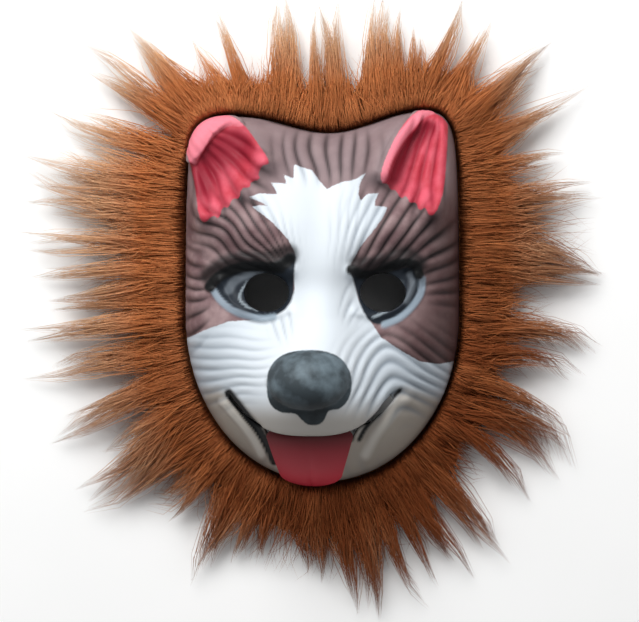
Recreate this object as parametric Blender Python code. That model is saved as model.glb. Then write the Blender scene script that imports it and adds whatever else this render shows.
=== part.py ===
"""Wolf face mask with a long-pile fur ruff, lying face up on the flat edge of its shell.

Metres, +Z up. X runs across the face, Y from the chin to the crown, and Z is the height above the
surface that the mask rests on. The moulded face is a thin shell over a height field: sections from
the chin to the crown give its broad form, and bumps and ridges add the brows, lids, nose and ears.
"""

import math

import bmesh
import bpy
import numpy as np
from mathutils import Matrix, Vector

# Outline of the face, seen from the front
FACE_WIDTH = 0.172
CHIN_DROP = 0.1045
CROWN_RISE = 0.1285
CROWN_DIP = 0.014
CROWN_DIP_WIDTH = 0.038
CROWN_DIP_X = 0.006
EAR_TILT = 0.003
CROWN_TAPER = 0.03
CHIN_ROUNDNESS = 2.03
CROWN_ROUNDNESS = 10.0

# Depth of the face, above the edge that it rests on
SKIRT = 0.014
FACE_DEPTH = 0.056
MUZZLE_DEPTH = 0.095
MUZZLE_LEAN = -0.0065
SHELL_WALL = 0.002
WALL_ROUNDNESS = 5.0
WALL_FALL = 1.8
EAR_ROUNDNESS = 26.0
RIDGE_POWER = 2.4

# Mouth, with the tongue that hangs out of it
LIP_LINE_Y = -0.0700
MOUTH_HALF = 0.052
MOUTH_RISE = 0.0255
SMILE_POWER = 3.0
JAW_STEP = 0.011
MOUTH_SLIT = 0.003
MOUTH_GAPE = 0.0085
MOUTH_CUT = 0.97
MOUTH_STEPS = 28
LIP_ROW_SHARE = 0.92
JAW_FADE = 0.35
JAW_EDGE = 0.4
LIP_ROW_DROP = 0.8
TONGUE_HALF = 0.0245
TONGUE_TIP_HALF = 0.0185
TONGUE_ROOT = 0.007
TONGUE_ROOT_HALF = 0.0190
TONGUE_WALL = 0.003
ROOT_SINK = 0.4
TONGUE_STOP = 0.002
TONGUE_ROUND_START = 0.72
TONGUE_ROOM = 1.2

# Eye holes and the slots for a head elastic
EYE_HOLE_HALF_WIDTH = 0.0140
EYE_HOLE_HALF_HEIGHT = 0.0118
EYE_HOLE_SPACING = 0.0712
EYE_MIDDLE_X = 0.0028
EYE_HOLE_Y = 0.0155
STRAP_SLOT_LENGTH = 0.012
STRAP_SLOT_HEIGHT = 0.003
STRAP_SLOT_Y = 0.020
EYE_HOLE_SIDES = 20

# Fur ruff
LOCK_COUNT = 48
FUR_REACH = 0.100
LOCK_SHOULDER = 0.42
BAND_SHARE = 0.5
PILE_HEIGHT = 0.026
PILE_TIP = 0.0025
CLEARANCE = 0.0004
SEAT_GAP = 0.0003
FACET_SAG = 0.0005

# Fineness of the faceted solids
FACE_COLUMNS = 34
FACE_ROWS = 42
EDGE_CROWDING = 0.5
CROWN_CORNER = math.radians(57)
CHIN_CORNER = math.radians(45)
SLOPE_STEP = 0.0005
OUTLINE_SAMPLES = 1440
TONGUE_COLUMNS = 10
TONGUE_ROWS = 14

HALF_WIDTH = FACE_WIDTH / 2
# The tongue ends a little short of the chin's edge
TONGUE_LENGTH = CHIN_DROP + LIP_LINE_Y - TONGUE_STOP

# Cross-sections from the chin up. y: share of CHIN_DROP below the widest line, of CROWN_RISE above
# it. flank: height of the cheeks, share of FACE_DEPTH. ridge: height of the middle, share of
# MUZZLE_DEPTH. half: half width of that middle ridge, share of HALF_WIDTH.
SECTIONS = (
    # y, flank, ridge, half
    (-1.00, 0.80, 0.74, 0.42),
    (-0.82, 0.86, 0.84, 0.44),
    (-0.67, 0.92, 0.91, 0.45),
    (-0.52, 0.96, 0.98, 0.43),
    (-0.34, 1.00, 0.99, 0.38),
    (-0.14, 1.01, 0.88, 0.30),
    (0.04, 1.00, 0.75, 0.22),
    (0.14, 0.98, 0.69, 0.21),
    (0.26, 1.00, 0.66, 0.26),
    (0.48, 1.03, 0.65, 0.42),
    (0.74, 0.98, 0.58, 0.50),
    (1.00, 0.88, 0.50, 0.52),
)

# Lean of the muzzle's middle line. y: as above. lean: share of MUZZLE_LEAN.
LEAN = (
    # y, lean
    (-1.00, 0.55),
    (-0.35, 1.00),
    (0.15, 0.00),
    (1.00, 0.00),
)

# Round forms that rise from the face or sink into it. u: share of HALF_WIDTH. v: as y above.
# across, along: half sizes, shares of HALF_WIDTH. turn: degrees. rise: share of FACE_DEPTH.
# power: 2 is a soft swell, higher has a flatter top and a steeper edge.
FORMS = (
    # name, u, v, across, along, turn, rise, power
    ("left_socket", -0.47, 0.15, 0.30, 0.22, -14, -0.15, 3.0),
    ("right_socket", 0.47, 0.15, 0.30, 0.22, 14, -0.15, 3.0),
    ("left_eyeball", -0.47, 0.145, 0.22, 0.17, -14, 0.11, 2.5),
    ("right_eyeball", 0.46, 0.145, 0.21, 0.17, 14, 0.11, 2.5),
    ("left_brow", -0.50, 0.40, 0.36, 0.15, -24, 0.15, 2.0),
    ("right_brow", 0.50, 0.40, 0.36, 0.15, 24, 0.15, 2.0),
    ("left_cheek", -0.66, -0.26, 0.26, 0.26, 0, 0.08, 2.0),
    ("right_cheek", 0.62, -0.26, 0.26, 0.26, 0, 0.08, 2.0),
    ("brow_notch", 0.0, 0.62, 0.10, 0.40, 0, -0.05, 2.0),
)
NOSE = ("nose", -0.070, -0.345, 0.295, 0.205, 0, 0.17, 3.6)

# Ear bowls: hollows behind the ear rims, columns as in FORMS.
EAR_FORMS = (
    ("left_ear_bowl", -0.68, 0.71, 0.22, 0.26, 12, -0.13, 2.2),
    ("left_ear_flap", -0.80, 0.87, 0.18, 0.13, 25, 0.14, 2.2),
    ("right_ear_bowl", 0.71, 0.75, 0.18, 0.29, -6, -0.15, 2.2),
)

# Narrow rounded ridges. width: half width, share of HALF_WIDTH. rise: share of FACE_DEPTH.
# path: points that the crest passes through, as (u, v).
RIDGES = (
    # name, width, rise, path
    ("left_lower_lid", 0.035, 0.060, ((-0.72, 0.18), (-0.61, 0.07), (-0.40, 0.00), (-0.22, 0.04))),
    ("right_lower_lid", 0.035, 0.060, ((0.69, 0.20), (0.61, 0.08), (0.42, 0.01), (0.26, 0.03))),
    ("left_upper_lid", 0.050, 0.085, ((-0.80, 0.24), (-0.59, 0.28), (-0.38, 0.27), (-0.22, 0.22))),
    ("right_upper_lid", 0.050, 0.085, ((0.74, 0.26), (0.59, 0.28), (0.40, 0.27), (0.24, 0.22))),
)
EAR_RIDGES = (
    (
        "left_ear_rim", 0.095, 0.20,
        ((-0.40, 0.74), (-0.47, 0.86), (-0.62, 0.95), (-0.80, 0.955), (-0.90, 0.90), (-0.93, 0.76),
         (-0.91, 0.60), (-0.86, 0.48)),
    ),
    (
        "right_ear_rim", 0.095, 0.24,
        ((0.41, 0.70), (0.47, 0.83), (0.59, 0.95), (0.76, 0.985), (0.88, 0.93), (0.91, 0.78),
         (0.89, 0.62), (0.83, 0.50)),
    ),
)

# Reach of the fur beyond the face, by direction. clock: degrees anticlockwise from +X. tip: reach of
# the longest locks, share of FUR_REACH. dense: where the valleys between locks end, share of the
# tip. sweep: sideways bend of the tips, share of their reach, anticlockwise +.
TUFTS = (
    # clock, tip, dense, sweep
    (0, 0.92, 0.56, -0.06),
    (14, 0.98, 0.54, 0.02),
    (30, 1.02, 0.52, 0.10),
    (47, 1.02, 0.50, 0.10),
    (60, 0.78, 0.48, 0.04),
    (75, 0.84, 0.44, -0.02),
    (92, 0.88, 0.42, 0.03),
    (108, 0.78, 0.46, 0.10),
    (127, 0.84, 0.50, 0.16),
    (140, 0.96, 0.52, 0.02),
    (158, 1.06, 0.52, -0.04),
    (176, 1.04, 0.54, 0.02),
    (194, 1.05, 0.54, 0.04),
    (217, 1.00, 0.54, 0.10),
    (232, 0.82, 0.60, 0.12),
    (244, 0.84, 0.60, 0.08),
    (258, 0.74, 0.64, 0.04),
    (271, 0.74, 0.66, 0.02),
    (283, 0.92, 0.58, 0.06),
    (305, 0.94, 0.58, -0.06),
    (326, 0.94, 0.58, -0.16),
    (348, 0.90, 0.58, -0.18),
)
LOCK_LENGTHS = (1.00, 0.78, 0.92, 0.70)

# Section of the ruff, from the shell outwards. out: share of the station's reach. height: share of
# PILE_HEIGHT at the tip of a lock, and in the valley between two.
RUFF_SECTION = (
    # out, lock height, valley height
    (0.00, 0.62, 0.62),
    (0.14, 0.98, 0.94),
    (0.36, 0.92, 0.80),
    (0.62, 0.56, 0.54),
    (0.84, 0.24, 0.30),
)

COLOURS = {
    "painted_shell": (0.62, 0.58, 0.58, 1.0),
    "tongue_red": (0.47, 0.03, 0.06, 1.0),
    "brown_fur": (0.24, 0.075, 0.025, 1.0),
}


def material(name, roughness):
    """A plain finish in one of the named colours."""
    made = bpy.data.materials.new(name)
    made.use_nodes = True
    shader = made.node_tree.nodes["Principled BSDF"]
    shader.inputs["Base Color"].default_value = COLOURS[name]
    shader.inputs["Roughness"].default_value = roughness
    made.diffuse_color = COLOURS[name]
    return made


def placed(u, v):
    """Shares of the face's sizes, as x and y in metres."""
    return HALF_WIDTH * u, np.where(v < 0, CHIN_DROP, CROWN_RISE) * v


def height_share(y):
    """y as a share of the chin's drop or the crown's rise."""
    return y / np.where(y < 0, CHIN_DROP, CROWN_RISE)


def smooth_row(at, stations, values):
    """values, given at the stations, read at any place between them on a smooth curve."""
    stations = np.asarray(stations, float)
    values = np.asarray(values, float)
    slopes = np.gradient(values, stations)
    at = np.clip(at, stations[0], stations[-1])
    low = np.clip(np.searchsorted(stations, at) - 1, 0, len(stations) - 2)
    step = stations[low + 1] - stations[low]
    t = (at - stations[low]) / step
    start = (1 + 2 * t) * (1 - t) ** 2 * values[low] + t * (1 - t) ** 2 * step * slopes[low]
    end = t * t * (3 - 2 * t) * values[low + 1] + t * t * (t - 1) * step * slopes[low + 1]
    return start + end


def crown_edge(x):
    """y of the face's top edge: a dip between two ears, one a little higher than the other."""
    dip = CROWN_DIP * np.exp(-(((x - CROWN_DIP_X) / CROWN_DIP_WIDTH) ** 2))
    return CROWN_RISE + EAR_TILT * x / HALF_WIDTH - dip


def rim_ratio(x, y):
    """0 at the middle of the face, 1 on its outline."""
    half = HALF_WIDTH * (1 - CROWN_TAPER * np.maximum(y / CROWN_RISE, 0) ** 2)
    chin = (np.abs(x / HALF_WIDTH) ** CHIN_ROUNDNESS + np.abs(y / CHIN_DROP) ** CHIN_ROUNDNESS)
    crown = (np.abs(x / half) ** CROWN_ROUNDNESS + np.abs(y / crown_edge(x)) ** CROWN_ROUNDNESS)
    return np.where(y < 0, chin ** (1 / CHIN_ROUNDNESS), crown ** (1 / CROWN_ROUNDNESS))


def rim_point(angle):
    """The outline's point in a direction, by halving the interval that holds it."""
    ray = np.stack([np.cos(angle), np.sin(angle)], axis=-1)
    near = np.zeros_like(angle)
    far = np.full_like(angle, 2 * (CROWN_RISE + HALF_WIDTH))
    for _ in range(50):
        middle = (near + far) / 2
        inside = rim_ratio(ray[..., 0] * middle, ray[..., 1] * middle) < 1
        near = np.where(inside, middle, near)
        far = np.where(inside, far, middle)
    return ray * near[..., None]


def rim_arc(start, end, count):
    """count + 1 points of the outline between two directions, evenly spaced along it."""
    dense = rim_point(np.linspace(start, end, OUTLINE_SAMPLES))
    walked = np.concatenate([[0], np.cumsum(np.linalg.norm(np.diff(dense, axis=0), axis=1))])
    wanted = walked[-1] * crowded(count)
    return np.stack([np.interp(wanted, walked, dense[:, k]) for k in (0, 1)], axis=1)


def crowded(count):
    """count + 1 shares from 0 to 1, closer together near the ends."""
    even = np.linspace(0, 1, count + 1)
    return (1 - EDGE_CROWDING) * even + EDGE_CROWDING * (1 - np.cos(math.pi * even)) / 2


def round_form(x, y, row):
    """Height of one row of FORMS at each point."""
    _, u, v, across, along, turn, rise, power = row
    x0, y0 = placed(u, v)
    angle = math.radians(turn)
    dx = (x - x0) * math.cos(angle) + (y - y0) * math.sin(angle)
    dy = -(x - x0) * math.sin(angle) + (y - y0) * math.cos(angle)
    reach = np.hypot(dx / (across * HALF_WIDTH), dy / (along * HALF_WIDTH))
    return rise * FACE_DEPTH * np.exp(-math.log(2) * reach**power)


def path_distance(x, y, path):
    """Distance from each point to a path of straight runs through (u, v) points."""
    points = [placed(u, v) for u, v in path]
    nearest = np.full(np.shape(x), np.inf)
    for (ax, ay), (bx, by) in zip(points, points[1:]):
        run = (bx - ax) ** 2 + (by - ay) ** 2
        t = np.clip(((x - ax) * (bx - ax) + (y - ay) * (by - ay)) / run, 0, 1)
        nearest = np.minimum(nearest, np.hypot(x - ax - t * (bx - ax), y - ay - t * (by - ay)))
    return nearest


def ridge(x, y, row):
    """Height of one row of RIDGES at each point."""
    _, width, rise, path = row
    reach = path_distance(x, y, path) / (width * HALF_WIDTH)
    return rise * FACE_DEPTH * np.exp(-(reach**2))


def nose_bulb(x, y):
    """A crowned bulb with a crease round it."""
    _, u, v, across, along, _, rise, power = NOSE
    x0, y0 = placed(u, v)
    reach = np.hypot((x - x0) / (across * HALF_WIDTH), (y - y0) / (along * HALF_WIDTH))
    return rise * FACE_DEPTH * np.maximum(1 - reach**power, 0) ** 0.5


def lip_line(x):
    """y of the upper lip's edge: level in the middle, rising to the corners of the smile."""
    share = np.minimum(np.abs(x - muzzle_x(LIP_LINE_Y)) / MOUTH_HALF, 1)
    return LIP_LINE_Y + MOUTH_RISE * share**SMILE_POWER


def mouth_gap(x):
    """Height of the mouth's opening: a slit at the corners, wide where the tongue comes out."""
    room = TONGUE_ROOM * TONGUE_HALF - np.abs(x - muzzle_x(LIP_LINE_Y))
    past_tongue = room / MOUTH_SLIT
    return MOUTH_SLIT + (MOUTH_GAPE - MOUTH_SLIT) * np.clip(past_tongue, 0, 1)


def mouth_fade(x):
    """1 along the mouth, falling to 0 at its corners."""
    share = np.abs(x - muzzle_x(LIP_LINE_Y)) / MOUTH_HALF
    return np.clip((1 - share) / JAW_FADE, 0, 1)


def muzzle_x(y):
    """x of the muzzle's middle line: the muzzle leans a little to one side."""
    stations, lean = zip(*LEAN)
    return MUZZLE_LEAN * smooth_row(height_share(np.asarray(y, float)), stations, lean)


def face_height(x, y, jaw=None):
    """Height of the face's outer side. jaw: 1 for the lower jaw carried on behind the lip."""
    v = height_share(y)
    stations, flank, mid, half = zip(*SECTIONS)
    cheeks = FACE_DEPTH * smooth_row(v, stations, flank)
    middle = MUZZLE_DEPTH * smooth_row(v, stations, mid)
    spread = np.abs(x - muzzle_x(y)) / (HALF_WIDTH * smooth_row(v, stations, half))
    form = cheeks + (middle - cheeks) * np.exp(-math.log(2) * spread**RIDGE_POWER)
    form = form + sum(round_form(x, y, row) for row in FORMS)
    form = form + sum(ridge(x, y, row) for row in RIDGES)
    if jaw is None:
        jaw = np.clip((lip_line(x) - y) / (JAW_EDGE * MOUTH_SLIT), 0, 1)
    form = form + nose_bulb(x, y) * (1 - jaw) - JAW_STEP * jaw * mouth_fade(x)
    ratio = np.clip(rim_ratio(x, y), 0, 1)
    ears = sum(round_form(x, y, row) for row in EAR_FORMS)
    ears = ears + sum(ridge(x, y, row) for row in EAR_RIDGES)
    wall = (1 - ratio**WALL_ROUNDNESS) ** (1 / WALL_FALL)
    return SKIRT + (form - SKIRT) * wall + ears * (1 - ratio**EAR_ROUNDNESS)


def finish_object(name, mesh, finish, smooth=True):
    """A bmesh as a named object with one finish."""
    bmesh.ops.recalc_face_normals(mesh, faces=mesh.faces)
    data = bpy.data.meshes.new(name)
    mesh.to_mesh(data)
    mesh.free()
    if smooth:
        data.shade_smooth()
    made = bpy.data.objects.new(name, data)
    made.data.materials.append(finish)
    bpy.context.scene.collection.objects.link(made)
    return made


def face_grid():
    """x and y of the shell's points: a grid fitted between four stretches of the outline."""
    chin = rim_arc(-math.pi + CHIN_CORNER, -CHIN_CORNER, FACE_COLUMNS)
    crown = rim_arc(math.pi - CROWN_CORNER, CROWN_CORNER, FACE_COLUMNS)
    left = rim_arc(math.pi + CHIN_CORNER, math.pi - CROWN_CORNER, FACE_ROWS)
    right = rim_arc(-CHIN_CORNER, CROWN_CORNER, FACE_ROWS)
    s = crowded(FACE_COLUMNS)[:, None, None]
    t = crowded(FACE_ROWS)[None, :, None]
    between = (1 - t) * chin[:, None] + t * crown[:, None] + (1 - s) * left[None] + s * right[None]
    corners = (1 - s) * (1 - t) * chin[0] + s * (1 - t) * chin[-1]
    corners = corners + (1 - s) * t * crown[0] + s * t * crown[-1]
    return between - corners


def drawn_to_lip(points):
    """The grid with one row moved onto the lip's edge and the next into the mouth, below it."""
    x, y = points[..., 0], points[..., 1]
    inside = np.abs(x - muzzle_x(LIP_LINE_Y)) < LIP_ROW_SHARE * MOUTH_HALF
    nearest = np.abs(y - lip_line(x)).argmin(axis=1)
    moved = points.copy()
    for column, row in enumerate(nearest):
        if inside[column, row]:
            edge = lip_line(x[column, row])
            moved[column, row, 1] = edge
            moved[column, row - 1, 1] = edge - LIP_ROW_DROP * mouth_gap(x[column, row])
    return moved


def cutter(name, mesh):
    """A helper shape that cuts the shell and isn't part of the mask."""
    bmesh.ops.recalc_face_normals(mesh, faces=mesh.faces)
    data = bpy.data.meshes.new(name)
    mesh.to_mesh(data)
    mesh.free()
    made = bpy.data.objects.new(name, data)
    made.hide_render = True
    made.display_type = "WIRE"
    bpy.context.scene.collection.objects.link(made)
    return made


def eye_cutter(name, side):
    """An oval rod through one eye hole."""
    mesh = bmesh.new()
    bmesh.ops.create_cone(
        mesh,
        cap_ends=True,
        segments=EYE_HOLE_SIDES,
        radius1=1,
        radius2=1,
        depth=2 * MUZZLE_DEPTH,
    )
    bmesh.ops.scale(mesh, vec=(EYE_HOLE_HALF_WIDTH, EYE_HOLE_HALF_HEIGHT, 1), verts=mesh.verts)
    place = (EYE_MIDDLE_X + side * EYE_HOLE_SPACING / 2, EYE_HOLE_Y, MUZZLE_DEPTH + SKIRT)
    bmesh.ops.translate(mesh, vec=place, verts=mesh.verts)
    return cutter(name, mesh)


def mouth_cutter():
    """A smile-shaped prism: a narrow slit at the corners, open in the middle for the tongue."""
    middle = float(muzzle_x(LIP_LINE_Y))
    x = middle + np.linspace(-MOUTH_CUT, MOUTH_CUT, MOUTH_STEPS) * MOUTH_HALF
    upper = lip_line(x)
    edge = list(zip(x, upper)) + list(zip(x, upper - mouth_gap(x)))[::-1]
    mesh = bmesh.new()
    face = mesh.faces.new([mesh.verts.new((*place, SKIRT + SHELL_WALL)) for place in edge])
    grown = bmesh.ops.extrude_face_region(mesh, geom=[face])["geom"]
    top = [piece for piece in grown if isinstance(piece, bmesh.types.BMVert)]
    bmesh.ops.translate(mesh, vec=(0, 0, 1.2 * MUZZLE_DEPTH), verts=top)
    return cutter("mouth_cutter", mesh)


def strap_cutter(name, side):
    """A flat bar through the side wall, for the head elastic's slot."""
    mesh = bmesh.new()
    bmesh.ops.create_cube(mesh, size=1)
    bmesh.ops.scale(
        mesh, vec=(10 * SHELL_WALL, STRAP_SLOT_LENGTH, STRAP_SLOT_HEIGHT), verts=mesh.verts
    )
    bmesh.ops.translate(mesh, vec=(side * HALF_WIDTH, STRAP_SLOT_Y, SKIRT / 2), verts=mesh.verts)
    return cutter(name, mesh)


def make_face_shell(finish):
    """The moulded face: a height field with a straight skirt, given its wall, then cut through."""
    points = drawn_to_lip(face_grid())
    heights = face_height(points[..., 0], points[..., 1])
    mesh = bmesh.new()
    bmesh.ops.create_grid(mesh, x_segments=FACE_COLUMNS, y_segments=FACE_ROWS, size=1)
    for vertex in mesh.verts:
        column = round((vertex.co.x + 1) / 2 * FACE_COLUMNS)
        row = round((vertex.co.y + 1) / 2 * FACE_ROWS)
        vertex.co = (*points[column, row], heights[column, row])
    edge = [e for e in mesh.edges if e.is_boundary]
    grown = bmesh.ops.extrude_edge_only(mesh, edges=edge)["geom"]
    for vertex in (piece for piece in grown if isinstance(piece, bmesh.types.BMVert)):
        vertex.co.z = 0
    shell = finish_object("face_shell", mesh, finish)
    wall = shell.modifiers.new("wall", "SOLIDIFY")
    wall.thickness = SHELL_WALL
    wall.offset = -1
    for tool in (
        eye_cutter("left_eye_cutter", -1),
        eye_cutter("right_eye_cutter", 1),
        mouth_cutter(),
        strap_cutter("left_strap_cutter", -1),
        strap_cutter("right_strap_cutter", 1),
    ):
        cut = shell.modifiers.new(tool.name, "BOOLEAN")
        cut.operation = "DIFFERENCE"
        cut.object = tool
    return shell


def outward(x, y, jaw=None):
    """Unit normals of the face's outer side, from small steps either way."""
    step = SLOPE_STEP
    slope_x = (face_height(x + step, y, jaw) - face_height(x - step, y, jaw)) / (2 * step)
    slope_y = (face_height(x, y + step, jaw) - face_height(x, y - step, jaw)) / (2 * step)
    normal = np.stack([-slope_x, -slope_y, np.ones_like(slope_x)], axis=-1)
    return normal / np.linalg.norm(normal, axis=-1, keepdims=True)


def make_tongue(finish):
    """A soft slab that comes out under the lip and drapes down the chin."""
    down = np.linspace(-TONGUE_ROOT, TONGUE_LENGTH, TONGUE_ROWS + 1)
    tip_start = TONGUE_ROUND_START * TONGUE_LENGTH
    stations = (-TONGUE_ROOT, 0.0, tip_start, TONGUE_LENGTH)
    half = np.interp(down, stations, (TONGUE_ROOT_HALF, TONGUE_HALF, TONGUE_TIP_HALF, TONGUE_TIP_HALF))
    past = np.clip((down - tip_start) / (TONGUE_LENGTH - tip_start), 0, 0.97)
    half = half * np.sqrt(1 - past**2)
    s, down = np.meshgrid(np.linspace(-1, 1, TONGUE_COLUMNS + 1), down, indexing="ij")
    x = muzzle_x(LIP_LINE_Y) + s * half
    y = LIP_LINE_Y - down
    sunk = 1 + ROOT_SINK * np.clip(-down / TONGUE_ROOT, 0, 1)
    lifted = np.stack([x, y, face_height(x, y, sunk)], axis=-1)
    lifted = lifted + outward(x, y, sunk) * (SEAT_GAP + FACET_SAG)
    mesh = bmesh.new()
    bmesh.ops.create_grid(mesh, x_segments=TONGUE_COLUMNS, y_segments=TONGUE_ROWS, size=1)
    for vertex in mesh.verts:
        column = round((vertex.co.x + 1) / 2 * TONGUE_COLUMNS)
        row = round((1 - vertex.co.y) / 2 * TONGUE_ROWS)
        vertex.co = lifted[column, row]
    tongue = finish_object("tongue", mesh, finish)
    wall = tongue.modifiers.new("wall", "SOLIDIFY")
    wall.thickness = TONGUE_WALL
    wall.offset = 1
    return tongue


def tuft_at(angle):
    """Tip, dense and sweep of the fur in a direction, between the rows of TUFTS."""
    clock, *columns = (np.array(column, float) for column in zip(*TUFTS))
    degrees = np.degrees(angle) % 360
    return [float(np.interp(degrees, clock, column, period=360)) for column in columns]


def ruff_stations():
    """Points evenly spaced round the outline, four to a lock, with their outward directions."""
    count = 4 * LOCK_COUNT
    dense = rim_point(np.linspace(0, 2 * math.pi, OUTLINE_SAMPLES + 1))
    walked = np.concatenate([[0], np.cumsum(np.linalg.norm(np.diff(dense, axis=0), axis=1))])
    wanted = walked[-1] * np.arange(count) / count
    points = np.stack([np.interp(wanted, walked, dense[:, k]) for k in (0, 1)], axis=1)
    along = np.roll(points, -2, axis=0) - np.roll(points, 2, axis=0)
    along /= np.linalg.norm(along, axis=1, keepdims=True)
    return points, np.stack([along[:, 1], -along[:, 0]], axis=1), along


def ruff_ring(station, point, out, along):
    """One section of the ruff, from the shell's wall over the pile to the tip and back."""
    lock, phase = divmod(station, 4)
    longest, dense, sweep = tuft_at(math.atan2(point[1], point[0]))
    tip = FUR_REACH * longest * LOCK_LENGTHS[lock % len(LOCK_LENGTHS)]
    valley = FUR_REACH * longest * dense
    grown = (0.0, LOCK_SHOULDER, 1.0, LOCK_SHOULDER)[phase]
    reach = valley + (tip - valley) * grown
    profile = []
    for out_share, lock_height, valley_height in RUFF_SECTION:
        height = valley_height + (lock_height - valley_height) * grown
        profile.append((out_share * reach, height * PILE_HEIGHT))
    profile.append((reach, PILE_TIP))
    profile.append((reach, 0.0))
    profile.append((BAND_SHARE * reach, 0.0))
    profile.append((0.0, 0.0))
    ring = []
    for distance, height in profile:
        aside = sweep * tip * grown * (distance / tip) ** 2
        place = point + out * (CLEARANCE + distance) + along * aside
        ring.append((place[0], place[1], height))
    return ring


def make_fur_ruff(finish):
    """The ruff: locks of long pile round a band that is glued to the shell's skirt."""
    points, outs, alongs = ruff_stations()
    mesh = bmesh.new()
    rings = [
        [mesh.verts.new(place) for place in ruff_ring(k, points[k], outs[k], alongs[k])]
        for k in range(len(points))
    ]
    for ring, following in zip(rings, rings[1:] + rings[:1]):
        for k in range(len(ring)):
            after = (k + 1) % len(ring)
            mesh.faces.new((ring[k], ring[after], following[after], following[k]))
    return finish_object("fur_ruff", mesh, finish)


def centre_on_origin(objects):
    """Moves the mask so that its box stands centred on the origin."""
    bpy.context.view_layer.update()
    graph = bpy.context.evaluated_depsgraph_get()
    corners = [
        Vector(corner)
        for made in objects
        if not made.hide_render
        for corner in made.evaluated_get(graph).bound_box
    ]
    low = Vector(map(min, *corners))
    high = Vector(map(max, *corners))
    shift = Matrix.Translation((-(low.x + high.x) / 2, -(low.y + high.y) / 2, 0))
    for made in objects:
        made.data.transform(shift)


def main():
    for left_over in list(bpy.data.objects):
        bpy.data.objects.remove(left_over)
    make_face_shell(material("painted_shell", 0.55))
    make_tongue(material("tongue_red", 0.4))
    make_fur_ruff(material("brown_fur", 0.9))
    centre_on_origin(list(bpy.data.objects))


main()
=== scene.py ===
"""Looks of a moulded wolf face mask with a ruff of long-pile fur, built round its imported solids.

The mask lies face up on a pale floor. X runs across the face, Y from the chin to the crown, Z up.
"""

import logging
import math
from dataclasses import dataclass, field
from enum import Enum

import bmesh
import bpy
import numpy as np
from mathutils import Matrix, Vector


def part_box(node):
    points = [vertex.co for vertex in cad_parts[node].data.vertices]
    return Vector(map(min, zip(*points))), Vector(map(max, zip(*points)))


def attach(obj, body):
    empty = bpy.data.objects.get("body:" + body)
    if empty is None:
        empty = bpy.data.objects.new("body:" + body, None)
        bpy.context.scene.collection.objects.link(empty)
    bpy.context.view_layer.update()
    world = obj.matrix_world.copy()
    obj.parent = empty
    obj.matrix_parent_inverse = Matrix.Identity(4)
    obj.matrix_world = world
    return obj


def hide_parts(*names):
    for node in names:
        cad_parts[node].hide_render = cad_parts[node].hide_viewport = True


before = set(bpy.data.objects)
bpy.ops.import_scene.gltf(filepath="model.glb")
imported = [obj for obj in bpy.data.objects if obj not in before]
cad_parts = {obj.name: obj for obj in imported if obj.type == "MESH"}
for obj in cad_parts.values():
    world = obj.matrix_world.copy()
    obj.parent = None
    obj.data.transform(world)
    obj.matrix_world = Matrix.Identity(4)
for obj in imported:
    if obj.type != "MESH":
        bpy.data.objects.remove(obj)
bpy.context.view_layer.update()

LOG = logging.getLogger("wolf_mask")
MM = 0.001
WAVES = 6
WAVE_RATES = (0.6, 1.5)
# A Mix node's colour sockets, by number because its other sockets bear the same names
FACTOR, UNDER, OVER, RESULT = 0, 6, 7, 2
Points = tuple[tuple[float, float], ...]


def linear(code: str) -> tuple[float, float, float, float]:
    """Turns an sRGB hex colour into linear RGBA.

    Args:
        code: Six hex digits, such as "8a4b2c".

    Returns:
        The colour's linear red, green and blue, with an alpha of 1.
    """
    channels = [int(code[k : k + 2], 16) / 255 for k in (0, 2, 4)]
    low = [value / 12.92 if value <= 0.04045 else ((value + 0.055) / 1.055) ** 2.4 for value in channels]
    return (*low, 1.0)


def add_node(
    tree: bpy.types.NodeTree, kind: str, settings: dict | None = None, inputs: dict | None = None
) -> bpy.types.Node:
    """Adds one shader node with its settings, values and links.

    Args:
        tree: The material's node tree.
        kind: The node's type name.
        settings: Properties of the node, by name.
        inputs: Values for its sockets, or the sockets that feed them, by name or number.

    Returns:
        The new node.
    """
    node = tree.nodes.new(kind)
    for name, value in (settings or {}).items():
        setattr(node, name, value)
    for name, value in (inputs or {}).items():
        if isinstance(value, bpy.types.NodeSocket):
            tree.links.new(value, node.inputs[name])
        else:
            node.inputs[name].default_value = value
    return node


def smooth_row(at: np.ndarray, stations: tuple[float, ...], values: tuple[float, ...]) -> np.ndarray:
    """Reads values given at stations at any place between them, on a smooth curve.

    Args:
        at: The places to read at.
        stations: Rising places where the values are given.
        values: The value at each station.

    Returns:
        One value for each place.
    """
    stations_at = np.asarray(stations, float)
    given = np.asarray(values, float)
    slopes = np.gradient(given, stations_at)
    at = np.clip(at, stations_at[0], stations_at[-1])
    low = np.clip(np.searchsorted(stations_at, at) - 1, 0, len(stations_at) - 2)
    step = stations_at[low + 1] - stations_at[low]
    t = (at - stations_at[low]) / step
    start = (1 + 2 * t) * (1 - t) ** 2 * given[low] + t * (1 - t) ** 2 * step * slopes[low]
    end = t * t * (3 - 2 * t) * given[low + 1] + t * t * (t - 1) * step * slopes[low + 1]
    return start + end


def wander(x: np.ndarray, y: np.ndarray, size: float, seed: int) -> np.ndarray:
    """A smooth random field made of a few crossing waves.

    Args:
        x: Places across.
        y: Places along.
        size: Width of its humps, in the unit of x and y.
        seed: Picks the field.

    Returns:
        Values of about -1 to 1.
    """
    draw = np.random.default_rng(seed)
    total = np.zeros(np.broadcast(x, y).shape)
    for _ in range(WAVES):
        angle, phase = draw.uniform(0, 2 * math.pi, 2)
        rate = math.pi / size * draw.uniform(*WAVE_RATES)
        total += np.sin(rate * (x * math.cos(angle) + y * math.sin(angle)) + phase)
    return total / math.sqrt(WAVES)


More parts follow.
